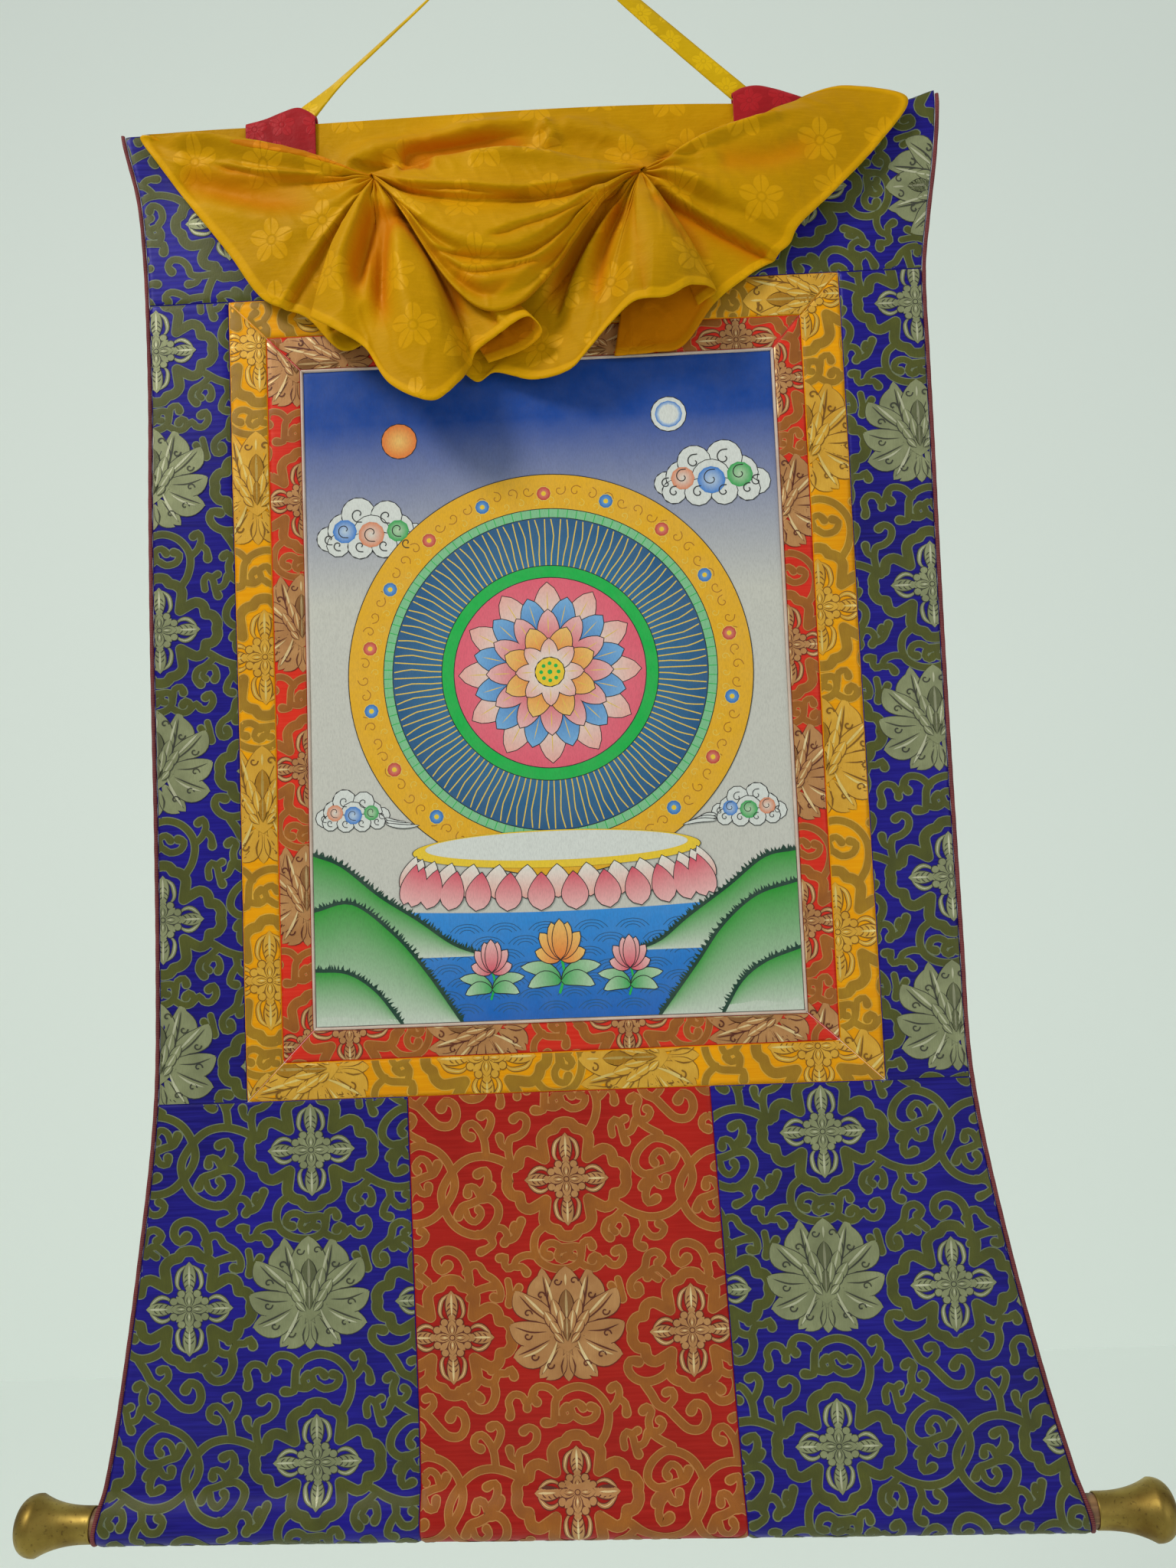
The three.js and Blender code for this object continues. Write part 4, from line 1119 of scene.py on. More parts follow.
def lineDistance(point, start, end):
    # how far inside the line from start to end a point lies, with the panel on its right
    along = Vector((end[0] - start[0], end[1] - start[1])).normalized()
    return -(along.x * (point[1] - start[1]) - along.y * (point[0] - start[0]))


def headingDistance(x, z):
    return min(x - leftEdge(z), rightEdge(z) - x, topEdge(x) - z, z - headingFoot)


def sideDistance(side):
    def distance(x, z):
        seam = sideSeam(side, sideShare(z))
        across = (x - leftEdge(z), seam - x) if side == "left" else (rightEdge(z) - x, x - seam)
        return min(*across, headingFoot - z, z - borderFoot)

    return distance


def lowerDistance(left, right):
    return lambda x, z: min(x - left(z), right(z) - x, borderFoot - z)


def stripDistance(corners):
    return lambda x, z: min(
        lineDistance((x, z), corners[i], corners[(i + 1) % 4]) for i in range(4)
    )


def headingFlat(u, v):
    headHalf = 270
    z = mix(topEdge(mix(-headHalf, headHalf, u)), headingFoot + gap / 2, v)
    return mix(leftEdge(z), rightEdge(z), u), -z


def sideFlat(side):
    def place(u, v):
        z = mix(headingFoot - gap / 2, borderFoot + gap / 2, v)
        if side == "left":
            return mix(leftEdge(z), sideSeam(side, v) - gap / 2, u), -z
        return mix(sideSeam(side, v) + gap / 2, rightEdge(z), u), -z

    return place


def lowerZ(x, down):
    flat = borderFoot - rodAxis(x) - hem["rise"]
    run = down + borderFoot
    if run <= flat:
        return -down
    return rodAxis(x) + hemPoint(run - flat)[1]


def lowerFlat(left, right):
    def place(u, v):
        # starts from the panel's middle height and closes in on the edges' slant
        middleHeight = -900
        x = mix(left(middleHeight), right(middleHeight), u)
        for _ in range(3):
            down = -borderFoot + mix(gap / 2, lowerLength(x), v)
            z = lowerZ(x, down)
            x = mix(left(z), right(z), u)
        return x, down

    return place


def stripFlat(corners):
    # corners: outer start, outer end, inner end, inner start
    outerA, outerB, innerB, innerA = [Vector(c) for c in corners]

    def place(u, v):
        a = outerA.lerp(innerA, v)
        b = outerB.lerp(innerB, v)
        point = a.lerp(b, u)
        return point.x, -point.y

    return place


def shrinkCorners(corners, amount):
    # draws a strip's four edges inwards by the seam's gap
    points = [Vector(c) for c in corners]
    moved = []
    for i in range(4):
        before = (points[i] - points[i - 1]).normalized()
        after = (points[(i + 1) % 4] - points[i]).normalized()
        turn = before.x * after.y - before.y * after.x
        moved.append(points[i] + (after - before) * (amount / max(abs(turn), 0.2)))
    return [tuple(p) for p in moved]


# Each kind of panel's columns and rows, and how near its edges the outer ones crowd.
panelGrids = {
    "heading": ((96, 34), (0.012, 0.05)),
    "side": ((16, 130), (0.08, 0.01)),
    "lower": ((40, 126), (0.03, 0.01)),
    "strip": ((110, 10), (0.01, 0.12)),
    "canvas": ((62, 84), (0.02, 0.02)),
}


def makePanel(name, kind, flat, place, distance, material, node, slotName, back=None):
    counts, crowding = panelGrids[kind]

    def surface(u, v):
        x, length = flat(u, v)
        z = -length if place is flatPlace else lowerZ(x, length)
        return place(x, length, panelOut(x, z, distance(x, z)))

    bm = clothGrid(*counts, surface, flat, *crowding)
    piece = addPiece(name, bm, material, [node], slotName)
    solid = thickenCloth(piece, scroll["clothHalf"] * 2)
    if back:
        piece.data.materials.append(back)
        solid.material_offset = 1


def joinCorners(outer, inner, index):
    following = (index + 1) % 4
    return [outer[index], outer[following], inner[following], inner[index]]


weaveInset = 0.45


def edgeTrims(left, right):
    return [
        lambda bm: trimAcross(bm, lambda length: left(length) + weaveInset, -1),
        lambda bm: trimAcross(bm, lambda length: right(length) - weaveInset, 1),
    ]


def flatTrim(spot, outwards):
    return lambda bm: trimFlat(bm, spot, outwards)


def stripTrims(corners):
    inset = shrinkCorners(corners, weaveInset)
    trims = []
    for i in range(4):
        along = (Vector(inset[(i + 1) % 4]) - Vector(inset[i])).normalized()
        trims.append(flatTrim(inset[i], (-along.y, along.x)))
    return trims


def leftAt(length):
    return leftEdge(-length)


def rightAt(length):
    return rightEdge(-length)


headingTrims = edgeTrims(leftAt, rightAt) + [
    lambda bm: trimTop(bm, lambda x: topEdge(x) - weaveInset),
    flatTrim((0, headingFoot + weaveInset), (0, -1)),
]
headingWeaves = [
    weaveCloth(
        f"heading {half}", cross, (0.96, 0.96), True, box, headingTrims + [flatTrim((0, 0), (outwards, 0))],
        flatPlace, headingDistance, blueThreads, "blue_brocade",
    )
    for half, cross, box, outwards in (
        ("left", (-202.3, 205.6), (-280, 0, 130, 261), 1),
        ("right", (181.5, 202), (0, 280, 130, 261), -1),
    )
]
makePanel(
    "heading cloth", "heading", headingFlat, flatPlace, headingDistance, blueSatin,
    "heading_panel", "blue_brocade",
)

sideCloths = {
    "left": {"cross": (-252.6, 292.9), "box": (-262, -198)},
    "right": {"cross": (251.3, 284.2), "box": (200, 262)},
}


def seamAt(side):
    return lambda length: sideSeam(side, sideShare(-length))


for side, cut in sideCloths.items():
    trims = edgeTrims(leftAt, seamAt(side)) if side == "left" else edgeTrims(seamAt(side), rightAt)
    trims.append(flatTrim((0, headingFoot - weaveInset), (0, 1)))
    trims.append(flatTrim((0, borderFoot + weaveInset), (0, -1)))
    weave = weaveCloth(
        f"{side} side", cut["cross"], (0.96, 0.92), False, (*cut["box"], -headingFoot, -borderFoot),
        trims, flatPlace, sideDistance(side), blueThreads, "blue_brocade",
    )
    makePanel(
        f"{side} side cloth", "side", sideFlat(side), flatPlace, sideDistance(side), blueSatin,
        f"side_panel_{side}", "blue_brocade",
    )


def lowerEdge(edge, x):
    return lambda length: edge(lowerZ(x, length))


lowerCloths = {
    "left": {
        "edges": (leftEdge, lambda z: leftSeam(z) - gap / 2), "satin": blueSatin, "threads": blueThreads,
        "slot": "blue_brocade", "cross": (-159.9, 817.8), "scale": (0.99, 0.925), "box": (-305, -92),
    },
    "middle": {
        "edges": (lambda z: leftSeam(z) + gap / 2, lambda z: rightSeam(z) - gap / 2), "satin": redSatin,
        "threads": redThreads, "slot": "red_brocade", "cross": (0.6, 841.1), "scale": (0.945, 0.922),
        "box": (-100, 106),
    },
    "right": {
        "edges": (lambda z: rightSeam(z) + gap / 2, rightEdge), "satin": blueSatin, "threads": blueThreads,
        "slot": "blue_brocade", "cross": (161.9, 817.3), "scale": (0.955, 0.925), "box": (90, 320),
    },
}
for label, cut in lowerCloths.items():
    left, right = cut["edges"]
    box = cut["box"]
    distance = lowerDistance(left, right)
    end = -borderFoot + lowerLength(box[0]) - 1
    trims = edgeTrims(lowerEdge(left, box[0] + 5), lowerEdge(right, box[1] - 5))
    trims += [flatTrim((0, borderFoot - weaveInset), (0, 1)), flatTrim((0, -end), (0, -1))]
    weave = weaveCloth(
        f"{label} lower", cut["cross"], cut["scale"], False, (*box, -borderFoot, end), trims, lowerPlace,
        distance, cut["threads"], cut["slot"],
    )
    makePanel(
        f"{label} lower cloth", "lower", lowerFlat(left, right), lowerPlace, distance, cut["satin"],
        f"lower_panel_{label}", cut["slot"],
    )

sideNames = ["top", "right", "foot", "left"]
borderCloths = {
    "gold": {
        "corners": (goldCorners, redCorners), "satin": goldSatin, "threads": goldThreads, "width": 0.0255,
        "slot": "gold_brocade", "scale": (1.02, 1.02),
        "cross": {"top": (80, 275), "right": (178.2, 484.8), "foot": (-47.4, 764.4), "left": (-183.7, 292.6)},
    },
    "red": {
        "corners": (redCorners, trimCorners), "satin": innerRedSatin, "threads": redThreads, "width": 0.021,
        "slot": "border_red_brocade", "scale": (0.865, 0.865),
        "cross": {
            "top": (-222, 304), "right": (157.4, 508.8), "foot": (-133.8, 741.7), "left": (-156.5, 576),
        },
    },
}
for ring, cut in borderCloths.items():
    for index, sideName in enumerate(sideNames):
        corners = shrinkCorners(joinCorners(*cut["corners"], index), gap / 2)
        length = (Vector(corners[0]) - Vector(corners[1])).length * mm
        xs = [x for x, z in corners]
        zs = [-z for x, z in corners]
        weave = weaveCloth(
            f"{ring} border {sideName}", cut["cross"][sideName], cut["scale"], sideName in ("top", "foot"),
            (min(xs), max(xs), min(zs), max(zs)), stripTrims(corners), flatPlace, stripDistance(corners),
            cut["threads"], cut["slot"],
        )
        makePanel(
            f"{ring} border {sideName}", "strip", stripFlat(corners), flatPlace, stripDistance(corners),
            cut["satin"], f"{ring}_border_{sideName}", cut["slot"],
        )
print("panels and borders sewn")

# ---- Canvas and its pale cord ----


def canvasFlat(u, v):
    inset = gap / 2
    return mix(canvasLeft + inset, canvasRight - inset, u), mix(inset - canvasTop, -canvasFoot - inset, v)


painting = {
    "inset": 0.6,
    "lift": 0.05,
    "layer": 0.011,
    "line": 0.55,
    "flowerLevel": 0.25,
    "wheelLevel": 0.3,
    "jewelLevel": 0.33,
    "seatLevel": 0.5,
}
landFoot = 741.6
paintLeft = canvasLeft + painting["inset"]
paintRight = canvasRight - painting["inset"]
# Each paint as its colour, and the colour it shades into down its own shape.
paintColours = {
    "ink": ((0.012, 0.012, 0.016),),
    "white": ((0.72, 0.74, 0.70),),
    "cloud orange": ((0.74, 0.25, 0.12), (0.74, 0.70, 0.62)),
    "cloud blue": ((0.03, 0.2, 0.62), (0.55, 0.66, 0.76)),
    "cloud green": ((0.02, 0.38, 0.08), (0.5, 0.66, 0.45)),
    "ochre": ((0.82, 0.43, 0.012),),
    "gold line": ((0.80, 0.55, 0.08),),
    "dark ochre": ((0.42, 0.17, 0.006),),
    "leaf green": ((0.006, 0.46, 0.07),),
    "pale green": ((0.22, 0.55, 0.28),),
    "field blue": ((0.016, 0.10, 0.24), (0.03, 0.16, 0.33)),
    "rose": ((0.80, 0.12, 0.18), (0.86, 0.2, 0.25)),
    "petal rose": ((0.72, 0.08, 0.13), (0.86, 0.5, 0.48)),
    "petal white": ((0.82, 0.80, 0.72), (0.85, 0.42, 0.36)),
    "petal blue": ((0.02, 0.15, 0.5), (0.2, 0.45, 0.75)),
    "petal orange": ((0.82, 0.2, 0.03), (0.9, 0.55, 0.15)),
    "yellow": ((0.88, 0.6, 0.03),),
    "jewel red": ((0.55, 0.04, 0.03), (0.8, 0.3, 0.2)),
    "hill green": ((0.004, 0.3, 0.012), (0.60, 0.66, 0.56)),
    "pine": ((0.008, 0.05, 0.03),),
    "water": ((0.004, 0.12, 0.5), (0.03, 0.27, 0.72)),
}
paintNames = list(paintColours)
paints = [
    gouache(name, colours[0], colours[1] if len(colours) > 1 else None)
    for name, colours in paintColours.items()
]


class Brush:
    # lays flat shapes on the canvas, each one a thin layer above the last
    def __init__(self):
        self.bm = bmesh.new()
        self.uv = self.bm.loops.layers.uv.new("flat")
        self.height = painting["lift"]

    def raiseLayer(self):
        self.height += painting["layer"]

    def startAt(self, height):
        self.height = height

    def fill(self, across, down, place, colour):
        made = bmesh.ops.create_grid(self.bm, x_segments=across, y_segments=down, size=0.5)["verts"]
        shares = {}
        for vert in made:
            u, v = vert.co.x + 0.5, vert.co.y + 0.5
            x, y = place(u, v)
            shares[vert] = (u, v)
            vert.co = (x, -y, self.height)
        for face in {face for vert in made for face in vert.link_faces}:
            face.material_index = paintNames.index(colour)
            for loop in face.loops:
                loop[self.uv].uv = shares[loop.vert]

    def ring(self, middle, inner, outer, colour, squash=1.0):
        parts = max(10, math.ceil(math.tau * outer / 5))
        rows = max(1, math.ceil((outer - inner) / 5))

        def place(u, v):
            angle = math.tau * u
            radius = mix(outer, inner, v)
            return middle[0] + radius * math.cos(angle), middle[1] - radius * squash * math.sin(angle)

        self.fill(parts, rows, place, colour)

    def line(self, points, width, colour, bulb=1.0, step=3.0, shape=bandShape):
        weaveStroke(self.bm, self.uv, points, width, self.height, paintNames.index(colour), shape, bulb, step)

    def petal(self, root, tip, width, colour, rim="ink", bend=0.0, point=0.85):
        # a leaf shape from root to tip, outlined, shading from root to tip
        rootSpot, tipSpot = Vector(root), Vector(tip)
        along = tipSpot - rootSpot
        side = Vector((-along.y, along.x)).normalized()
        for grow, paint in ((painting["line"], rim), (0, colour)):
            self.raiseLayer()

            def place(u, v, grow=grow):
                swell = max(math.sin(math.pi * v**point), 0) ** 0.6
                reach = -grow / along.length + v * (1 + 2 * grow / along.length)
                middle = rootSpot + along * reach + side * bend * math.sin(math.pi * v)
                spot = middle + side * ((u - 0.5) * (width * swell + 2 * grow * (0.25 + swell) * 0.8))
                return spot.x, spot.y

            self.fill(4, 9, place, paint)

    def disc(self, middle, radius, colour, rim="ink", squash=1.0, inner=0.01):
        if rim:
            self.raiseLayer()
            self.ring(middle, max(radius - 1, 0.01), radius + painting["line"], rim, squash)
        self.raiseLayer()
        self.ring(middle, inner, radius, colour, squash)

    def curl(self, middle, size, hand, width, colour, turn=0.0):
        self.line(curlSpots(middle, size, hand, turn, 0.7, 10), width, colour, step=1.5)


brush = Brush()


def paintCloud(middle, size, hand, tails, colours):
    # heaped puffs with curls, a coloured heart in some of them
    x, y = middle
    puffs = [
        (-30, 8, 9, None), (30, 7, 8, None), (-19, 2, 12, colours[1]), (19, 3, 11, colours[2]),
        (-9, -9, 12, None), (11, -7, 11, None), (0, 5, 13, colours[0]), (-24, 13, 8, None), (25, 13, 8, None),
        (-8, 14, 9, None), (9, 14, 9, None),
    ]
    for dx, dy, radius, colour in puffs:
        brush.disc((x + dx * size * hand, y + dy * size), radius * size, "white")
    for dx, dy, radius, colour in puffs:
        spot = (x + dx * size * hand, y + dy * size)
        brush.raiseLayer()
        if colour:
            brush.disc((spot[0], spot[1] + size), radius * 0.72 * size, colour, None)
            brush.raiseLayer()
        brush.curl(spot, radius * 0.5 * size, hand, 0.7 * size, "ink", 1.2)
    for tail in range(tails):
        start = (x + 34 * size * hand, y + (10 + tail * 3) * size)
        end = (x + (54 + tail * 7) * size * hand, y + (15 + tail * 2) * size)
        brush.petal(start, end, 3.4 * size, "white", bend=2 * size)


def paintSky():
    for middle, size, hand, tails, colours in (
        ((-112, 418), 0.92, 1, 0, ("cloud orange", "cloud blue", "cloud green")),
        ((112, 392), 0.98, -1, 0, ("cloud blue", "cloud green", "cloud orange")),
        ((126, 610), 0.62, -1, 3, ("cloud green", "cloud orange", "cloud blue")),
        ((-128, 604), 0.62, 1, 3, ("cloud blue", "cloud orange", "cloud green")),
    ):
        brush.startAt(painting["lift"])
        paintCloud(middle, size, hand, tails, colours)
    brush.startAt(painting["lift"])
    brush.disc((-92, 362), 11.5, "petal orange")
    brush.disc((86, 352), 11.5, "white")
    brush.raiseLayer()
    brush.ring((86, 352), 6.5, 9, "cloud blue")


def paintHill(points, foot, colour="hill green"):
    line = curveThrough(points, 6)
    brush.raiseLayer()

    def place(u, v):
        at = u * (len(line) - 1)
        index = min(int(at), len(line) - 2)
        spot = line[index].lerp(line[index + 1], at - index)
        return spot.x, mix(foot, spot.y, 1 - v) if foot > spot.y else spot.y

    brush.fill(len(line) * 2, 8, place, colour)
    brush.raiseLayer()
    brush.line(points, 2.2, "pine", step=5)
    chooser = random.Random(len(points) + int(points[0][0]))
    for before, after in zip(line, line[1:]):
        along = (after - before).normalized()
        out = Vector((along.y, -along.x))
        if out.y > 0:
            out = -out
        for share in (0.2, 0.5, 0.8):
            root = before.lerp(after, share)
            tip = root + out * chooser.uniform(2.6, 4.6) + along * chooser.uniform(-1.6, 1.6)
            brush.line([tuple(root - out), tuple(tip)], 1.5, "pine", step=4, shape=leafShape)


# Each side's hills, the far one first: how far down its foot lies, then the line of its top.
hillSides = [
    [
        (700.5, (paintLeft, 632), (-136, 640), (-112, 660), (-88, 676), (-66, 692), (-46, 700)),
        (landFoot, (paintLeft, 668), (-130, 664), (-104, 684), (-84, 708), (-62, 741)),
        (landFoot, (paintLeft, 706), (-134, 708), (-116, 720), (-100, 741)),
    ],
    [
        (700.5, (paintRight, 640), (134, 644), (110, 662), (84, 680), (66, 694), (50, 700)),
        (landFoot, (paintRight, 660), (128, 668), (106, 686), (88, 710), (64, 741)),
        (landFoot, (paintRight, 702), (132, 710), (116, 722), (104, 741)),
    ],
]


def waterPlace(u, v):
    shore = 668 + 6 * math.sin(u * 3.1)
    return mix(paintLeft, paintRight, u), mix(landFoot, shore, v)


def paintLand():
    # low hills either side, mist at their feet, and water with scalloped waves between them
    brush.startAt(painting["lift"])
    brush.fill(64, 16, waterPlace, "water")
    chooser = random.Random(12)
    for row in range(7):
        for step in range(9):
            brush.startAt(painting["lift"] + 0.02 + row * 0.003)
            x = -112 + step * 27 + (row % 2) * 13 + chooser.uniform(-3, 3)
            y = 687 + row * 8.4
            for radius in (11, 8, 5):
                arc = [
                    (x + radius * math.cos(angle), y - radius * 0.62 * math.sin(angle))
                    for angle in (0.3, 0.95, 1.57, 2.2, 2.85)
                ]
                brush.line(arc, 0.5, "field blue", step=4)
    brush.raiseLayer()
    land = brush.height
    for hills in hillSides:
        brush.startAt(land)
        for foot, *points in hills:
            paintHill(points, foot)


wheel = {
    "middle": (2, 520), "rim": (131, 106), "beads": (108, 100), "field": (102, 66), "hub": (70, 60),
    "bloom": 62, "heart": 9.5, "curls": 72, "curlRings": (121, 113.5), "jewels": 18, "jewelRing": 118.5,
    "beadLines": 110, "beadReach": (102.6, 107.8), "rays": 120, "rayRadii": (66, 78, 90, 101),
}
# The bloom's rows of petals: how many, root, tip, width, colour and turn, in petals.
bloomRows = [
    (12, 22, 59, 19, "petal white", 0),
    (12, 20, 50, 17, "petal blue", 0.5),
    (12, 16, 41, 14, "petal rose", 0),
    (8, 9, 31, 15, "petal orange", 0.5),
    (8, 4, 22, 11, "petal white", 0),
]


def spoke(angle, radius):
    x, y = wheel["middle"]
    return x + radius * math.cos(angle), y + radius * math.sin(angle)


def wheelBand(name, colour):
    outer, inner = wheel[name]
    brush.disc(wheel["middle"], outer, colour, inner=inner)


def paintWheel():
    middle = wheel["middle"]
    brush.startAt(painting["wheelLevel"])
    wheelBand("rim", "ochre")
    brush.raiseLayer()
    outerCurls, innerCurls = wheel["curlRings"]
    for step in range(wheel["curls"]):
        angle = math.tau * step / wheel["curls"]
        hand = 1 if step % 2 else -1
        brush.curl(spoke(angle, outerCurls), 4.2, hand, 0.6, "dark ochre", angle + (step % 3))
        brush.curl(spoke(angle + 0.04, innerCurls), 2.8, -hand, 0.5, "gold line", angle)
    for step in range(wheel["jewels"]):
        spot = spoke(math.tau * (step + 0.5) / wheel["jewels"], wheel["jewelRing"])
        brush.startAt(painting["jewelLevel"])
        brush.disc(spot, 4.6, "jewel red" if step % 2 else "petal blue", "gold line")
        brush.disc(spot, 1.6, "yellow", None)
    brush.startAt(painting["jewelLevel"])
    wheelBand("beads", "pale green")
    brush.raiseLayer()
    for step in range(wheel["beadLines"]):
        angle = math.tau * step / wheel["beadLines"]
        brush.line([spoke(angle, radius) for radius in wheel["beadReach"]], 0.5, "leaf green", step=9)
    wheelBand("field", "field blue")
    brush.raiseLayer()
    for step in range(wheel["rays"]):
        # every other ray is wavy
        angle = math.tau * step / wheel["rays"]
        sway = 0.012 if step % 2 else 0
        points = [spoke(angle + sway * math.sin(radius / 5 + 3), radius) for radius in wheel["rayRadii"]]
        brush.line(points, 0.75, "gold line", step=8)
    wheelBand("hub", "leaf green")
    brush.disc(middle, wheel["bloom"], "rose")
    for count, root, tip, width, colour, turn in bloomRows:
        for step in range(count):
            angle = math.tau * (step + turn) / count
            brush.petal(spoke(angle, root), spoke(angle, tip), width, colour)
            brush.raiseLayer()
            vein = [spoke(angle, mix(root, tip, share)) for share in (0.35, 0.85)]
            brush.line(vein, 0.6, "gold line", step=6, shape=leafShape)
            brush.height -= painting["layer"] * 2.6
        brush.height += painting["layer"] * 3
    brush.disc(middle, wheel["heart"], "yellow")
    brush.raiseLayer()
    for step in range(8):
        brush.ring(spoke(math.tau * step / 8, 5.6), 0.01, 1.3, "leaf green")
    brush.ring(middle, 0.01, 1.6, "leaf green")


# The seat's rows of petals: how many, how far down they start, how far they drop, and colour.
seatRows = [(15, 640, 17, "petal white"), (14, 645, 20, "petal rose")]


def paintSeat():
    # an empty lotus seat: two rows of petals under a white cushion
    middle = wheel["middle"][0]
    brush.startAt(painting["seatLevel"])
    brush.disc((middle, 634), 92, "yellow", "ink", 0.13)
    brush.disc((middle, 632), 84, "white", "gold line", 0.11)
    for count, y, drop, colour in seatRows:
        for step in range(count):
            share = (step + 0.5) / count
            angle = math.pi * share
            x = middle - 94 * math.cos(angle)
            root = (x * 0.96, y + 9 * math.sin(angle) - 5)
            tip = (x * 1.06, y + drop + 8 * math.sin(angle))
            brush.petal(root, tip, 17 * (0.55 + 0.45 * math.sin(angle)), colour, point=1.35)
            brush.height -= painting["layer"] * 1.7
        brush.height += painting["layer"] * 2


# Each petal's tip, across and down from the flower's middle, the back ones first.
flowerTips = [(-15, 2), (15, 2), (-12, -9), (12, -9), (-5, -15), (5, -15), (0, -17)]


def paintFlower(middle, size, colour):
    x, y = middle
    brush.startAt(painting["flowerLevel"])
    stem = [(x, y + 4), (x + 2 * size, y + 16 * size), (x - size, y + 27 * size)]
    brush.line(stem, 1.6 * size, "leaf green")
    for side in (-1, 1):
        for reach, lift in ((24, -3), (20, 9)):
            brush.petal((x, y + 20 * size), (x + side * reach * size, y + (14 + lift) * size), 9 * size,
                        "cloud green", bend=-3 * size * side)
    for across, down in flowerTips:
        tip = (x + across * size, y + down * size)
        brush.petal((x, y + 7 * size), tip, 9 * size, colour, point=0.95)


paintSky()
paintLand()
paintWheel()
paintSeat()
for middle, size, colour in (
    ((2, 697), 1.05, "petal orange"), ((-42, 705), 0.85, "petal rose"), ((46, 705), 0.85, "petal rose"),
):
    paintFlower(middle, size, colour)


def finishPainting():
    bm = brush.bm
    for spot, outwards in (
        ((paintLeft, 0), (-1, 0)), ((paintRight, 0), (1, 0)),
        ((0, canvasTop - painting["inset"]), (0, 1)), ((0, canvasFoot + painting["inset"]), (0, -1)),
    ):
        trimFlat(bm, spot, outwards)
    front = scroll["clothHalf"]
    for vert in bm.verts:
        x, z, height = vert.co
        inwards = max(insideCanvas(x, z), 0)
        lift = 1.3 * scroll["puckerDepth"] * math.exp(-inwards / 9)
        vert.co = flatPlace(x, -z, front + height + lift - edgeDip(max(inwards, 3.2)))
    piece = addPiece("painting paint", bm, paints[0], (), "painted_canvas")
    for paint in paints[1:]:
        piece.data.materials.append(paint)
    return piece


print("painting laid in", len(brush.bm.faces), "faces, height", round(brush.height, 2), "mm")
paintPiece = finishPainting()
makePanel(
    "painted canvas", "canvas", canvasFlat, flatPlace, insideCanvas, canvasPaint,
    "painting_canvas", "painted_canvas",
    plainCloth("bare canvas", (0.55, 0.50, 0.40), 0.85),
)
for index, sideName in enumerate(sideNames):
    corners = joinCorners(trimCorners, canvasCorners, index)
    flat = stripFlat(shrinkCorners(corners, 0.1))

    def cordSurface(u, v, flat=flat):
        x, down = flat(u, v)
        rise = 1.35 * math.sin(math.pi * v) ** 0.7 - 0.2
        return flatPlace(x, down, rise)

    bm = clothGrid(110, 5, cordSurface, flat)
    cordPiece = addPiece(f"canvas cord {sideName}", bm, trimSilk, [f"canvas_trim_{sideName}"], "trim_cord")
    thickenCloth(cordPiece, 1.0)
print("canvas set in its border")

# ---- Edge bindings: a tape folded round each side edge and on round the hem's mouth ----


binding = {"top": 143, "footHalf": 300, "halfWide": 1.35, "halfThick": 1.25, "girth": 9, "steps": 330}


def makeBinding(side):
    sign = 1 if side == "left" else -1
    foot = -borderFoot + lowerLength(-binding["footHalf"] * sign)

    def surface(u, v):
        down = mix(binding["top"], foot, v)
        x = readTable(sideEdges, "z", -down, side)
        for _ in range(2):
            z = -down if down < -borderFoot else lowerZ(x, down)
            x = readTable(sideEdges, "z", z, side)
        angle = math.tau * u
        ripple = 0.12 * math.sin(down / 2.6) + 0.1 * noise.noise(Vector((down / 9, u, 0)))
        wide = binding["halfWide"] + ripple * 0.5
        x += sign * (scroll["bindingWidth"] / 2 - wide * math.cos(angle))
        return lowerPlace(x, down, (binding["halfThick"] + ripple) * math.sin(angle) * sign)

    def flat(u, v):
        return u * binding["girth"], mix(binding["top"], foot, v)

    bm = clothGrid(10, binding["steps"], surface, flat)
    bmesh.ops.remove_doubles(bm, verts=bm.verts, dist=0.01)
    ends = [edge for edge in bm.edges if edge.is_boundary]
    bmesh.ops.holes_fill(bm, edges=ends, sides=0)
    bmesh.ops.recalc_face_normals(bm, faces=bm.faces)
    addPiece(f"{side} edge binding", bm, bindingSilk, [f"edge_binding_{side}"], "edge_binding")


for side in ("left", "right"):
    makeBinding(side)

# ---- Rod and brass knobs ----

knob = {
    "neck": 10.6,
    "rim": 17.8,
    "flare": 35,
    "dome": 12.5,
    "bore": 9.8,
    "boreDepth": 19.5,
    "mouth": {"left": -300, "right": 314.6},
    "steps": 72,
}


def knobProfile():
    points = [(0, knob["boreDepth"]), (knob["bore"], knob["boreDepth"]), (knob["bore"], 0)]
    points += [(knob["neck"] - 0.25, 0), (knob["neck"], 0.3)]
    for step in range(1, 29):
        along = step / 28
        points.append((knob["neck"] + (knob["rim"] - knob["neck"]) * along**2.6, knob["flare"] * along))
    for step in range(1, 16):
        angle = step / 16 * math.pi / 2
        radius = knob["rim"] * math.cos(angle) ** 0.62
        points.append((radius, knob["flare"] + 0.8 + (knob["dome"] - 0.8) * math.sin(angle)))
    points.append((0, knob["flare"] + knob["dome"]))
    return points


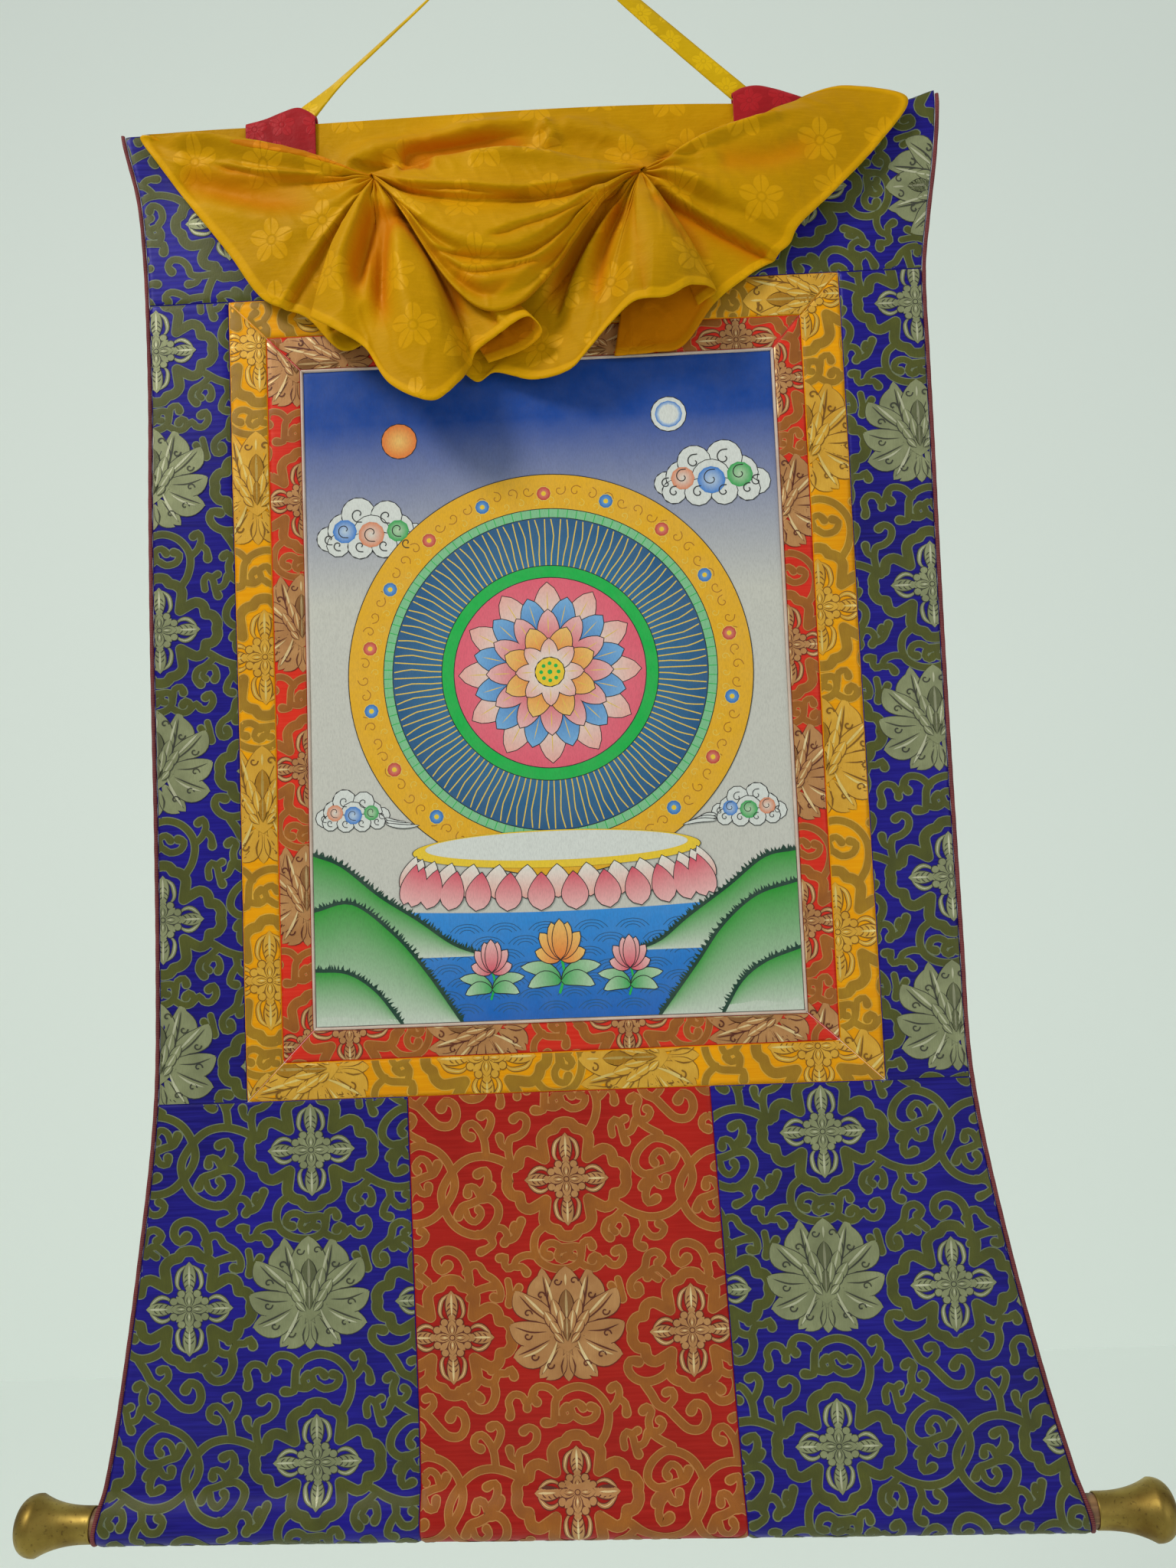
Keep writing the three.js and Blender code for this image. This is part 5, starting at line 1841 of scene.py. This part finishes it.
def makeKnob(side):
    sign = -1 if side == "left" else 1
    bm = bmesh.new()
    chain = [bm.verts.new((along, 0, radius)) for radius, along in knobProfile()]
    for low, high in zip(chain, chain[1:]):
        bm.edges.new((low, high))
    bmesh.ops.spin(
        bm, geom=bm.verts[:] + bm.edges[:], axis=(1, 0, 0), cent=(0, 0, 0),
        steps=knob["steps"], angle=math.tau, use_merge=True,
    )
    bmesh.ops.remove_doubles(bm, verts=bm.verts, dist=0.001)
    bmesh.ops.recalc_face_normals(bm, faces=bm.faces)
    if sign < 0:
        bmesh.ops.rotate(bm, verts=bm.verts, cent=(0, 0, 0), matrix=Matrix.Rotation(math.pi, 3, "Z"))
    bmesh.ops.rotate(bm, verts=bm.verts, cent=(0, 0, 0), matrix=Matrix.Rotation(math.atan(rodSink), 3, "Y"))
    mouth = knob["mouth"][side]
    bmesh.ops.translate(bm, verts=bm.verts, vec=(mouth, 0, rodAxis(mouth)))
    addPiece(f"{side} brass knob", bm, agedBrass, [f"brass_knob_{side}"], "aged_brass")


for side in ("left", "right"):
    makeKnob(side)
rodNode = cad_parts["weight_rod"]
rodNode.data.materials.clear()
rodNode.data.materials.append(rodWood)
print("bindings, rod and knobs fitted")

# ---- Hanging ribbon ----

ribbon = {"width": 13, "thickness": 1.0, "steps": 280, "across": 8}
ribbonRoute = rows(
    "x y z turn",
    (-173, 2, -153, 0),
    (-161, 2, -142, 0),
    (-150, 1.9, -132, 6),
    (-139, 1.4, -122, 28),
    (-123, 0.8, -107.5, 46),
    (-92, 0.4, -80, 52),
    (-60, 0, -51.5, 58),
    (-36, 0, -29, 72),
    (-19, 0, -13, 84),
    (-9, 0, -3.6, 90),
    (0, 0, 0.6, 90),
    (9, 0, -3.6, 90),
    (19, 0, -13, 76),
    (36, 0, -29.5, 44),
    (62, 0, -53.5, 22),
    (92, 0.6, -83, 10),
    (122, 1.4, -112, 4),
    (141, 2, -130, 0),
    (153, 2, -142, 0),
    (163, 2, -153, 0),
)
numberRows(ribbonRoute)


def ribbonPoint(share):
    return Vector([spread(ribbonRoute, share, axis) for axis in "xyz"])


def ribbonSurface(u, v):
    centre = ribbonPoint(v)
    along = (ribbonPoint(min(v + 0.002, 1)) - ribbonPoint(max(v - 0.002, 0))).normalized()
    turn = math.radians(spread(ribbonRoute, v, "turn"))
    upright = Vector((-along.z, 0, along.x)).normalized()
    wide = upright * math.cos(turn) + Vector((0, math.sin(turn), 0))
    thin = along.cross(wide).normalized()
    across = (u - 0.5) * ribbon["width"]
    belly = 0.35 * math.cos(math.pi * (u - 0.5)) + 0.16 * noise.noise(Vector((across / 5, v * 60, 2)))
    return centre + wide * across + thin * belly


ribbonPath = [ribbonPoint(i / 200) * mm for i in range(201)]
ribbonLength = sum((b - a).length for a, b in zip(ribbonPath, ribbonPath[1:]))
bm = clothGrid(
    ribbon["across"], ribbon["steps"], ribbonSurface,
    lambda u, v: (u * ribbon["width"], v * ribbonLength / mm),
)
ribbonPiece = addPiece("hanging ribbon", bm, ribbonSilk, ["hanging_ribbon"], "ribbon_silk")
thickenCloth(ribbonPiece, ribbon["thickness"])
tuple(ribbonPath[0])
[tuple(p) for p in ribbonPath]
print("ribbon hung, length", round(ribbonLength, 3), "m")

# ---- Tabs: brocade folded over the head, holding the ribbon's ends ----

tab = {"thickness": 1.3, "front": -4.3, "back": 3.6, "flap": 0.38}
tabShapes = {
    "left": rows(
        "x top foot",
        (-189, -138, -158),
        (-176, -135, -160.5),
        (-164, -130.5, -163),
        (-154, -128, -165),
        (-147, -131, -166.5),
        (-142, -135, -167.5),
    ),
    "right": rows(
        "x top foot",
        (138, -134, -162),
        (145, -130.5, -162),
        (155, -129.5, -162),
        (165, -132, -162),
        (176, -136, -162),
        (186, -140, -162),
    ),
}


def makeTab(side):
    shape = tabShapes[side]

    def surface(u, v):
        x = mix(shape[0]["x"], shape[-1]["x"], u)
        top = readTable(shape, "x", x, "top") - tab["thickness"] / 2
        foot = readTable(shape, "x", x, "foot")
        radius = (tab["back"] - tab["front"]) / 2
        middle = (tab["back"] + tab["front"]) / 2
        spring = top - radius
        crease = 0.35 * noise.noise(Vector((x / 9, v * 7, 4.2)))
        flap = tab["flap"]
        if v < flap:
            z = mix(foot, spring, v / flap)
            return Vector((x, tab["front"] - crease - 0.3 * math.sin(math.pi * u), z))
        if v > 1 - flap:
            return Vector((x, tab["back"] + crease * 0.5, mix(spring, foot, (v - 1 + flap) / flap)))
        angle = math.pi * (v - flap) / (1 - 2 * flap)
        y = middle - radius * math.cos(angle) - crease * 0.5
        return Vector((x, y, spring + radius * math.sin(angle)))

    bm = clothGrid(30, 64, surface, lambda u, v: (u * 47, v * 75), 0.03)
    piece = addPiece(f"{side} hanging tab", bm, tabSilk, [f"hanging_tab_{side}"], "tab_damask")
    thickenCloth(piece, tab["thickness"])


for side in ("left", "right"):
    makeTab(side)
print("tabs folded over the head")

# ---- Veil: one silk cloth, caught up at two gathers into wings, flutes and a pouch ----

veil = {
    "thickness": 0.8,
    "fanStart": 0.006,
    "fanRings": 58,
    "slingAcross": 140,
    "slingDown": 172,
    "pleats": 7,
    "pleatDepth": 2.4,
    "crumple": 0.85,
    "crease": 0.75,
    "hemWidth": 6,
    "hemRise": 0.8,
}
gathers = {"left": {"x": -101, "z": -189, "out": 17}, "right": {"x": 74, "z": -194, "out": 17}}
fans = {
    "left wing": {
        "gather": "left",
        "across": 150,
        "rows": rows(
            "x z out belly bow",
            (-250, -150, 7, 2, 3),
            (-257, -147.5, 8, 3, 8),
            (-258, -151, 6.5, 0, -3),
            (-248, -166, 8, 3, -4),
            (-230, -192, 8, -1, 0),
            (-200, -233, 10, 5, 0),
            (-178, -265, 10, 5, 0),
            (-150, -278, 8, 3, 0),
            (-128, -301, 7, 0, 0),
            (-108, -296, 6, -1, 0),
        ),
    },
    "left flute": {
        "gather": "left",
        "across": 210,
        "rows": rows(
            "x z out belly bow",
            (-126, -286, 10, 2, 0),
            (-144, -284, 20, 8, 4),
            (-124, -299, 31, 9, 3),
            (-107, -311, 30, 3, 2),
            (-91, -337, 35, 2, 0),
            (-64, -352, 42, 8, 3),
            (-47, -339, 37, 7, 9),
            (-41, -322, 20, 0, 9),
            (-37, -312, 20, -2, 5),
            (-21, -304, 27, -4, 5),
            (-3, -295, 30, -6, 5),
            (6, -303, 24, -8, 5),
            (-6, -311, 17, -9, 3),
            (-30, -317, 13, -6, 0),
        ),
    },
    "right flute": {
        "gather": "right",
        "across": 170,
        "rows": rows(
            "x z out belly bow",
            (-60, -258, 6, -3, 0),
            (-62, -296, 6, -3, 2),
            (-41, -326, 7, -2, 0),
            (-26, -322, 9, -2, 0),
            (-2, -329, 12, -2, 0),
            (21, -328, 20, 2, 0),
            (33, -319, 25, 3, 0),
            (49, -303, 29, 2, 2),
            (66, -292, 38, 9, 4),
            (86, -292, 42, 12, 4),
            (103, -283, 37, 10, 3),
            (119, -281, 23, 6, 2),
            (108, -284, 10, 2, 0),
        ),
    },
    "right wing": {
        "gather": "right",
        "across": 170,
        "shaded": 0.23,
        "rows": rows(
            "x z out belly bow",
            (52, -314, 6, -1, 0),
            (78, -313, 7, -1, 0),
            (98, -309, 8, 0, 0),
            (120, -281, 8, 1, 0),
            (146, -262, 8, 1, 0),
            (168, -247, 9, 0, 0),
            (176, -235, 14, 8, 2),
            (202, -210, 11, 9, 3),
            (234, -177, 9, 7, 2),
            (252, -149, 8, 6, 2),
            (216, -139, 9, 5, 3),
            (192, -141, 8, 1, 0),
            (172, -150, 7, 0, 0),
        ),
    },
}
slingRows = rows(
    "left leftZ right rightZ sag point outLeft outMid outRight",
    (-258, -143.2, 246, -146.5, -1.4, 1, 2.9, 2, 2.7),
    (-240, -152, 226, -154, -3, 1, 2.5, 2, 2.4),
    (-180, -166, 165, -168, -9, 1, 2, 2.4, 2.2),
    (-122, -181, 100, -184, -16, 1, 4, 3.4, 8),
    (-108, -187, 80, -191, -17, 1, 9, 6, 16),
    (-104, -188, 77, -193, -12, 1, 18, 19, 20),
    (-102, -189, 75, -194, 6, 1, 22, 26, 20),
    (-101, -190, 74, -194, 17, 1, 22, 31, 20),
    (-101, -190, 74, -195, 22, 1, 17, 25, 16),
    (-100, -191, 73, -195, 40, 1.1, 22, 36, 19),
    (-100, -192, 72, -195, 56, 1.2, 22, 38, 19),
    (-99, -193, 71, -196, 63, 1.3, 18, 32, 17),
    (-98, -194, 70, -196, 77, 1.5, 20, 37, 18),
    (-97, -195, 69, -197, 85, 1.5, 17, 31, 16),
    (-96, -196, 68, -197, 93, 1.5, 17, 31, 16),
    (-95, -196, 68, -198, 91, 1.5, 12, 24, 14),
)
slingLowest = 0.45

for fan in fans.values():
    numberRows(fan["rows"])
numberRows(slingRows)


# Folds pressed into each piece: rise (a valley is negative), width, lip and the line it runs along.
# A lip of 1 or -1 lifts one side of the line over the other, as where cloth laps over cloth.
veilFolds = {
    "pouch": [
        (9, 9, 0, (-101, -182), (-118, -173), (-97, -164), (-67, -161), (-38, -154), (8, -147), (30, -150)),
        (-15, 7.5, 0, (-88, -172), (-66, -169), (-44, -168), (-16, -164), (8, -158)),
        (7, 6, 0, (8, -149), (16, -155), (14, -163), (2, -170)),
        (8, 7, 0, (-92, -186), (-68, -175), (-47, -173), (-20, -177), (16, -183), (44, -186)),
        (-9, 4.5, 0, (-86, -184), (-74, -182), (-60, -183)),
        (6, 8, 0, (18, -151), (35, -154), (60, -163), (74, -176), (76, -190)),
        (-7, 6, 0, (84, -178), (95, -181), (112, -175), (132, -169)),
        (-6, 4, 1, (-94, -190), (-76, -199), (-39, -205), (0, -211), (28, -209), (60, -198)),
        (-4, 3.5, 1, (-30, -243), (-17, -240), (-1, -235), (22, -228), (45, -212)),
        (-4, 3.5, 1, (-66, -240), (-59, -247), (-32, -252), (-5, -252), (14, -244), (34, -226)),
        (-4.5, 3.5, 1, (-58, -249), (-41, -263), (-18, -262), (9, -257), (26, -242)),
        (2.5, 5, 0, (-80, -214), (-62, -232), (-40, -244), (-14, -246)),
        (2.5, 5, 0, (50, -204), (36, -220), (20, -236), (2, -246)),
        (-3, 3.5, 0, (-50, -262), (-43, -269), (-30, -277), (-20, -275), (0, -267)),
    ],
    "left wing": [
        (5, 6, 0, (-247, -154), (-216, -153), (-176, -166), (-139, -176), (-104, -185)),
        (-5, 4.5, 1, (-212, -168), (-176, -180), (-148, -184), (-112, -186)),
        (-4.5, 10, 0, (-238, -172), (-204, -187), (-167, -200), (-127, -210)),
        (3, 8, 0, (-222, -192), (-190, -206), (-150, -214)),
        (-6.5, 5, -1, (-105, -196), (-127, -221), (-149, -250), (-168, -276)),
        (2.5, 6, 0, (-112, -212), (-122, -238), (-132, -262)),
        (-5, 5, -1, (-103, -202), (-112, -230), (-124, -262), (-136, -292)),
    ],
    "left flute": [
        (4.5, 6, 0, (-100, -196), (-113, -229), (-124, -255), (-136, -279)),
        (-8, 6.5, 0, (-97, -204), (-104, -230), (-111, -259), (-113, -284)),
        (5, 6, 0, (-94, -204), (-99, -232), (-104, -262), (-104, -296)),
        (-7, 6.5, 0, (-90, -210), (-95, -241), (-97, -275), (-92, -303)),
        (4.5, 9, 0, (-86, -226), (-84, -257), (-79, -295), (-70, -334)),
        (-8, 6, 0, (-89, -206), (-78, -226), (-63, -247), (-52, -272), (-45, -304)),
        (-4, 4, 1, (-56, -252), (-40, -270), (-26, -286), (-20, -300)),
        (-3.5, 4, 0, (-30, -268), (-14, -280), (-4, -292)),
    ],
    "right flute": [
        (-7, 5, 0, (66, -199), (50, -214), (32, -240), (14, -268), (4, -292)),
        (-6, 4.5, 1, (62, -206), (44, -232), (28, -258), (16, -290)),
        (5, 6, 0, (60, -204), (48, -226), (36, -252), (28, -284), (26, -310)),
        (-5, 5, 0, (64, -208), (52, -236), (44, -268), (44, -296)),
        (5, 7, -1, (70, -210), (70, -236), (72, -262), (76, -292)),
        (-4, 5, 0, (80, -214), (92, -236), (108, -262)),
    ],
    "right wing": [
        (-10, 6.5, 1, (72, -197), (93, -213), (129, -235), (170, -256)),
        (4, 6, 0, (80, -198), (109, -207), (139, -231), (174, -243)),
        (4.5, 5, 0, (80, -196), (110, -181), (154, -165), (202, -154)),
        (-7, 5, -1, (84, -194), (110, -178), (136, -168), (170, -160)),
        (-3, 9, 0, (120, -192), (160, -190), (200, -172)),
        (2.5, 8, 0, (104, -190), (150, -178), (210, -160)),
        (-3, 5, 0, (80, -206), (100, -232), (122, -262)),
    ],
}


def foldLines(name):
    lines = []
    for rise, width, lip, *points in veilFolds[name]:
        line = curveThrough(points, 7)
        reach = width * (4 if lip else 2.4)
        xs = [point.x for point in line]
        zs = [point.y for point in line]
        box = (min(xs) - reach, max(xs) + reach, min(zs) - reach, max(zs) + reach)
        lines.append((rise, width, lip, line, box))
    return lines


def foldShift(lines, x, z):
    # how far the folds push the cloth out at x, z, and how deep inside a fold it lies, which the veil's
    # colour paints as shade
    shift = 0
    inside = 0
    for rise, width, lip, line, box in lines:
        if not (box[0] < x < box[1] and box[2] < z < box[3]):
            continue
        best = (1e9, 0, 0)
        last = len(line) - 1
        for i in range(last):
            ax, az = line[i]
            bx, bz = line[i + 1]
            dx, dz = bx - ax, bz - az
            share = min(max(((x - ax) * dx + (z - az) * dz) / (dx * dx + dz * dz), 0), 1)
            offX, offZ = x - ax - dx * share, z - az - dz * share
            square = offX * offX + offZ * offZ
            if square < best[0]:
                best = (square, (i + share) / last, dx * offZ - dz * offX)
        square, run, side = best
        away = math.sqrt(square)
        fade = smooth(0, 0.14, run) * (1 - smooth(0.88 if lip else 0.6, 1, run))
        if lip:
            signed = math.copysign(away, side) * lip
            step = 0.5 - 0.5 * math.tanh(signed / 1.1)
            here = rise * math.exp(-away / width) * mix(-0.55, 1, step) * fade
        else:
            here = rise * math.exp(-square / (width * width)) * fade
        shift += here
        inside += max(-here, 0)
    return shift, inside


def crumpleAt(x, z, seed):
    slow = noise.noise(Vector((x / 26, z / 26, seed)))
    quick = noise.noise(Vector((x / 9, z / 9, seed + 4)))
    crease = 1 - min(abs(noise.noise(Vector((x / 17 + z / 40, z / 30, seed + 9)))) * 5, 1)
    return veil["crumple"] * (slow + 0.35 * quick) + veil["crease"] * crease**2


def fanSurface(fan, lines, seed):
    gather = gathers[fan["gather"]]
    table = fan["rows"]

    def surface(u, v):
        reach = mix(veil["fanStart"], 1, v)
        edgeX = spread(table, u, "x")
        edgeZ = spread(table, u, "z")
        swell = math.sin(math.pi * reach)
        out = mix(gather["out"], spread(table, u, "out"), reach) + spread(table, u, "belly") * swell
        bow = spread(table, u, "bow") * swell
        length = math.hypot(edgeX - gather["x"], edgeZ - gather["z"])
        acrossX = -(edgeZ - gather["z"]) / length
        acrossZ = (edgeX - gather["x"]) / length
        sign = -1 if acrossZ < 0 else 1
        x = mix(gather["x"], edgeX, reach) + sign * acrossX * bow
        z = mix(gather["z"], edgeZ, reach) + sign * acrossZ * bow
        run = reach * length
        pinch = math.exp(-run / 34) * smooth(0, 12, run)
        out += veil["pleatDepth"] * math.sin(math.tau * veil["pleats"] * u + seed) * pinch
        shift, inside = foldShift(lines, x, z)
        out += shift * smooth(0, 16, run) + crumpleAt(x, z, seed) * smooth(0, 20, run)
        fromEdge = length - run
        hemShare = 1 - smooth(veil["hemWidth"] - 1, veil["hemWidth"] + 1, fromEdge)
        out += veil["hemRise"] * hemShare
        # painted shade: the colour layer deepens near the gather and across the shaded inner rows of the
        # right wing, and runs negative along the hem, where the silk is painted lighter
        shaded = fan.get("shaded", 0)
        wingShade = 7 * (1 - smooth(shaded, shaded + 0.04, u)) if shaded else 0
        inside = mix(inside + 3.5 * math.exp(-run / 13), -2.6, hemShare) + wingShade
        return Vector((x, -max(out, 2.4) - wave(x, z), z)), inside

    return surface


slingLines = foldLines("pouch")


def slingSurface(u, v):
    bend = math.log(0.5) / math.log(slingLowest)
    arch = math.sin(math.pi * min(u**bend, 1)) ** spread(slingRows, v, "point") if 0 < u < 1 else 0
    left = spread(slingRows, v, "left")
    right = spread(slingRows, v, "right")
    x = mix(left, right, u)
    z = mix(spread(slingRows, v, "leftZ"), spread(slingRows, v, "rightZ"), u)
    z -= spread(slingRows, v, "sag") * arch
    side = spread(slingRows, v, "outLeft" if u < 0.5 else "outRight")
    out = mix(side, spread(slingRows, v, "outMid"), max(math.sin(math.pi * u), 0) ** 0.8)
    flatBand = smooth(0, 1 / len(slingRows), v)
    z = mix(z, topEdge(x) - 0.4, 1 - flatBand)
    ends = min(math.hypot(x - g["x"], z - g["z"]) for g in gathers.values())
    shift, inside = foldShift(slingLines, x, z)
    out += shift * smooth(2, 16, ends) * flatBand
    out += crumpleAt(x, z, 2.2) * flatBand * smooth(0, 20, ends)
    out += 1.3 * math.sin(math.tau * 9 * v) * math.exp(-ends / 26) * smooth(0, 8, ends) * flatBand
    # painted shade: the colour layer deepens near the gathers
    inside += 3.5 * math.exp(-ends / 13)
    return Vector((x, -max(out, 2.3) - wave(x, z), z)), inside


def makeVeil(name, across, down, surface):
    # the fold layer holds how deep inside the folds each point lies, which the silk's colour paints as shade;
    # where it runs negative, along the hem, the silk is painted lighter
    foldShades = {}

    def place(u, v):
        spot, inside = surface(u, v)
        foldShades[(round(spot.x, 4), round(spot.z, 4))] = inside
        return spot

    bm = clothGrid(across, down, place, lambda u, v: (u * 300, v * 150))
    layer = bm.verts.layers.float.new("fold")
    for vert in bm.verts:
        vert[layer] = foldShades[(round(vert.co.x, 4), round(vert.co.z, 4))]
    piece = addPiece(f"veil {name}", bm, veilSilk, ["veil"], "veil_silk")
    # the back faces take the wrong side's colour, with its painted through-light
    piece.data.materials.append(veilWrongSideAndThroughLight)
    thickenCloth(piece, veil["thickness"], even=False).material_offset = 1


makeVeil("pouch", veil["slingAcross"], veil["slingDown"], slingSurface)
for seed, (name, fan) in enumerate(fans.items()):
    surface = fanSurface(fan, foldLines(name), 1.3 * seed + 0.4)
    makeVeil(name, fan["across"], veil["fanRings"], surface)
print("veil gathered")

# ---- Floor, backdrop, lights and camera ----


def stagePlane(name, size, middle, turn, material):
    bm = bmesh.new()
    bmesh.ops.create_grid(bm, x_segments=1, y_segments=1, size=size)
    bmesh.ops.rotate(bm, verts=bm.verts, cent=(0, 0, 0), matrix=Matrix.Rotation(turn, 3, "X"))
    bmesh.ops.translate(bm, verts=bm.verts, vec=middle)
    mesh = bpy.data.meshes.new(name)
    bm.to_mesh(mesh)
    bm.free()
    mesh.materials.append(material)
    plane = bpy.data.objects.new(name, mesh)
    bpy.context.scene.collection.objects.link(plane)


def softLight(name, place, aim, size, power, colour):
    data = bpy.data.lights.new(name, "AREA")
    data.shape = "DISK"
    data.size = size
    data.energy = power
    data.color = colour
    light = bpy.data.objects.new(name, data)
    light.location = place
    light.rotation_euler = (Vector(aim) - Vector(place)).to_track_quat("-Z", "Y").to_euler()
    bpy.context.scene.collection.objects.link(light)


studio = {
    "sky": (0.92, 0.97, 0.95),
    "wall": (0.75, 0.81, 0.76),
    "wallGlow": 0.25,
    "keyPower": 44,
    "fillPower": 9,
    "worldStrength": 0.36,
}
paleWall, wallTree, wallShader = newMaterial("pale studio paper")
wallShader.inputs["Base Color"].default_value = (*studio["wall"], 1)
wallShader.inputs["Roughness"].default_value = 0.95
wallShader.inputs["Emission Color"].default_value = (*studio["wall"], 1)
wallShader.inputs["Emission Strength"].default_value = studio["wallGlow"]
bumps(wallTree, wallShader, [(noiseAt(wallTree, 40, 4), 0.1, 0.001)])
stagePlane("backdrop", 6, (0, 2.6, 0), math.radians(90), paleWall)
stagePlane("floor", 6, (0, -2.0, -1.9), 0, paleWall)
softLight("key", (-1.5, -1.55, 1.35), (0, 0, -0.5), 0.8, studio["keyPower"], (1, 0.97, 0.92))
softLight("fill", (1.6, -1.8, -0.4), (0, 0, -0.6), 1.6, studio["fillPower"], (0.92, 0.96, 1))

world = bpy.data.worlds.new("studio")
bpy.context.scene.world = world
world.use_nodes = True
background = world.node_tree.nodes["Background"]
background.inputs["Color"].default_value = (*studio["sky"], 1)
background.inputs["Strength"].default_value = studio["worldStrength"]

view = {"lens": 38.67, "place": (0.0421, -0.8096, -0.6591), "turn": (94.64, 2.22, 1.48)}
cameraData = bpy.data.cameras.new("camera")
cameraData.sensor_fit = "HORIZONTAL"
cameraData.sensor_width = 36
cameraData.lens = view["lens"]
cameraData.clip_start = 0.01
cameraData.clip_end = 50
camera = bpy.data.objects.new("camera", cameraData)
camera.location = view["place"]
camera.rotation_euler = [math.radians(angle) for angle in view["turn"]]
bpy.context.scene.collection.objects.link(camera)
bpy.context.scene.camera = camera
bpy.context.scene.view_settings.view_transform = "Standard"
print("camera and lights set")
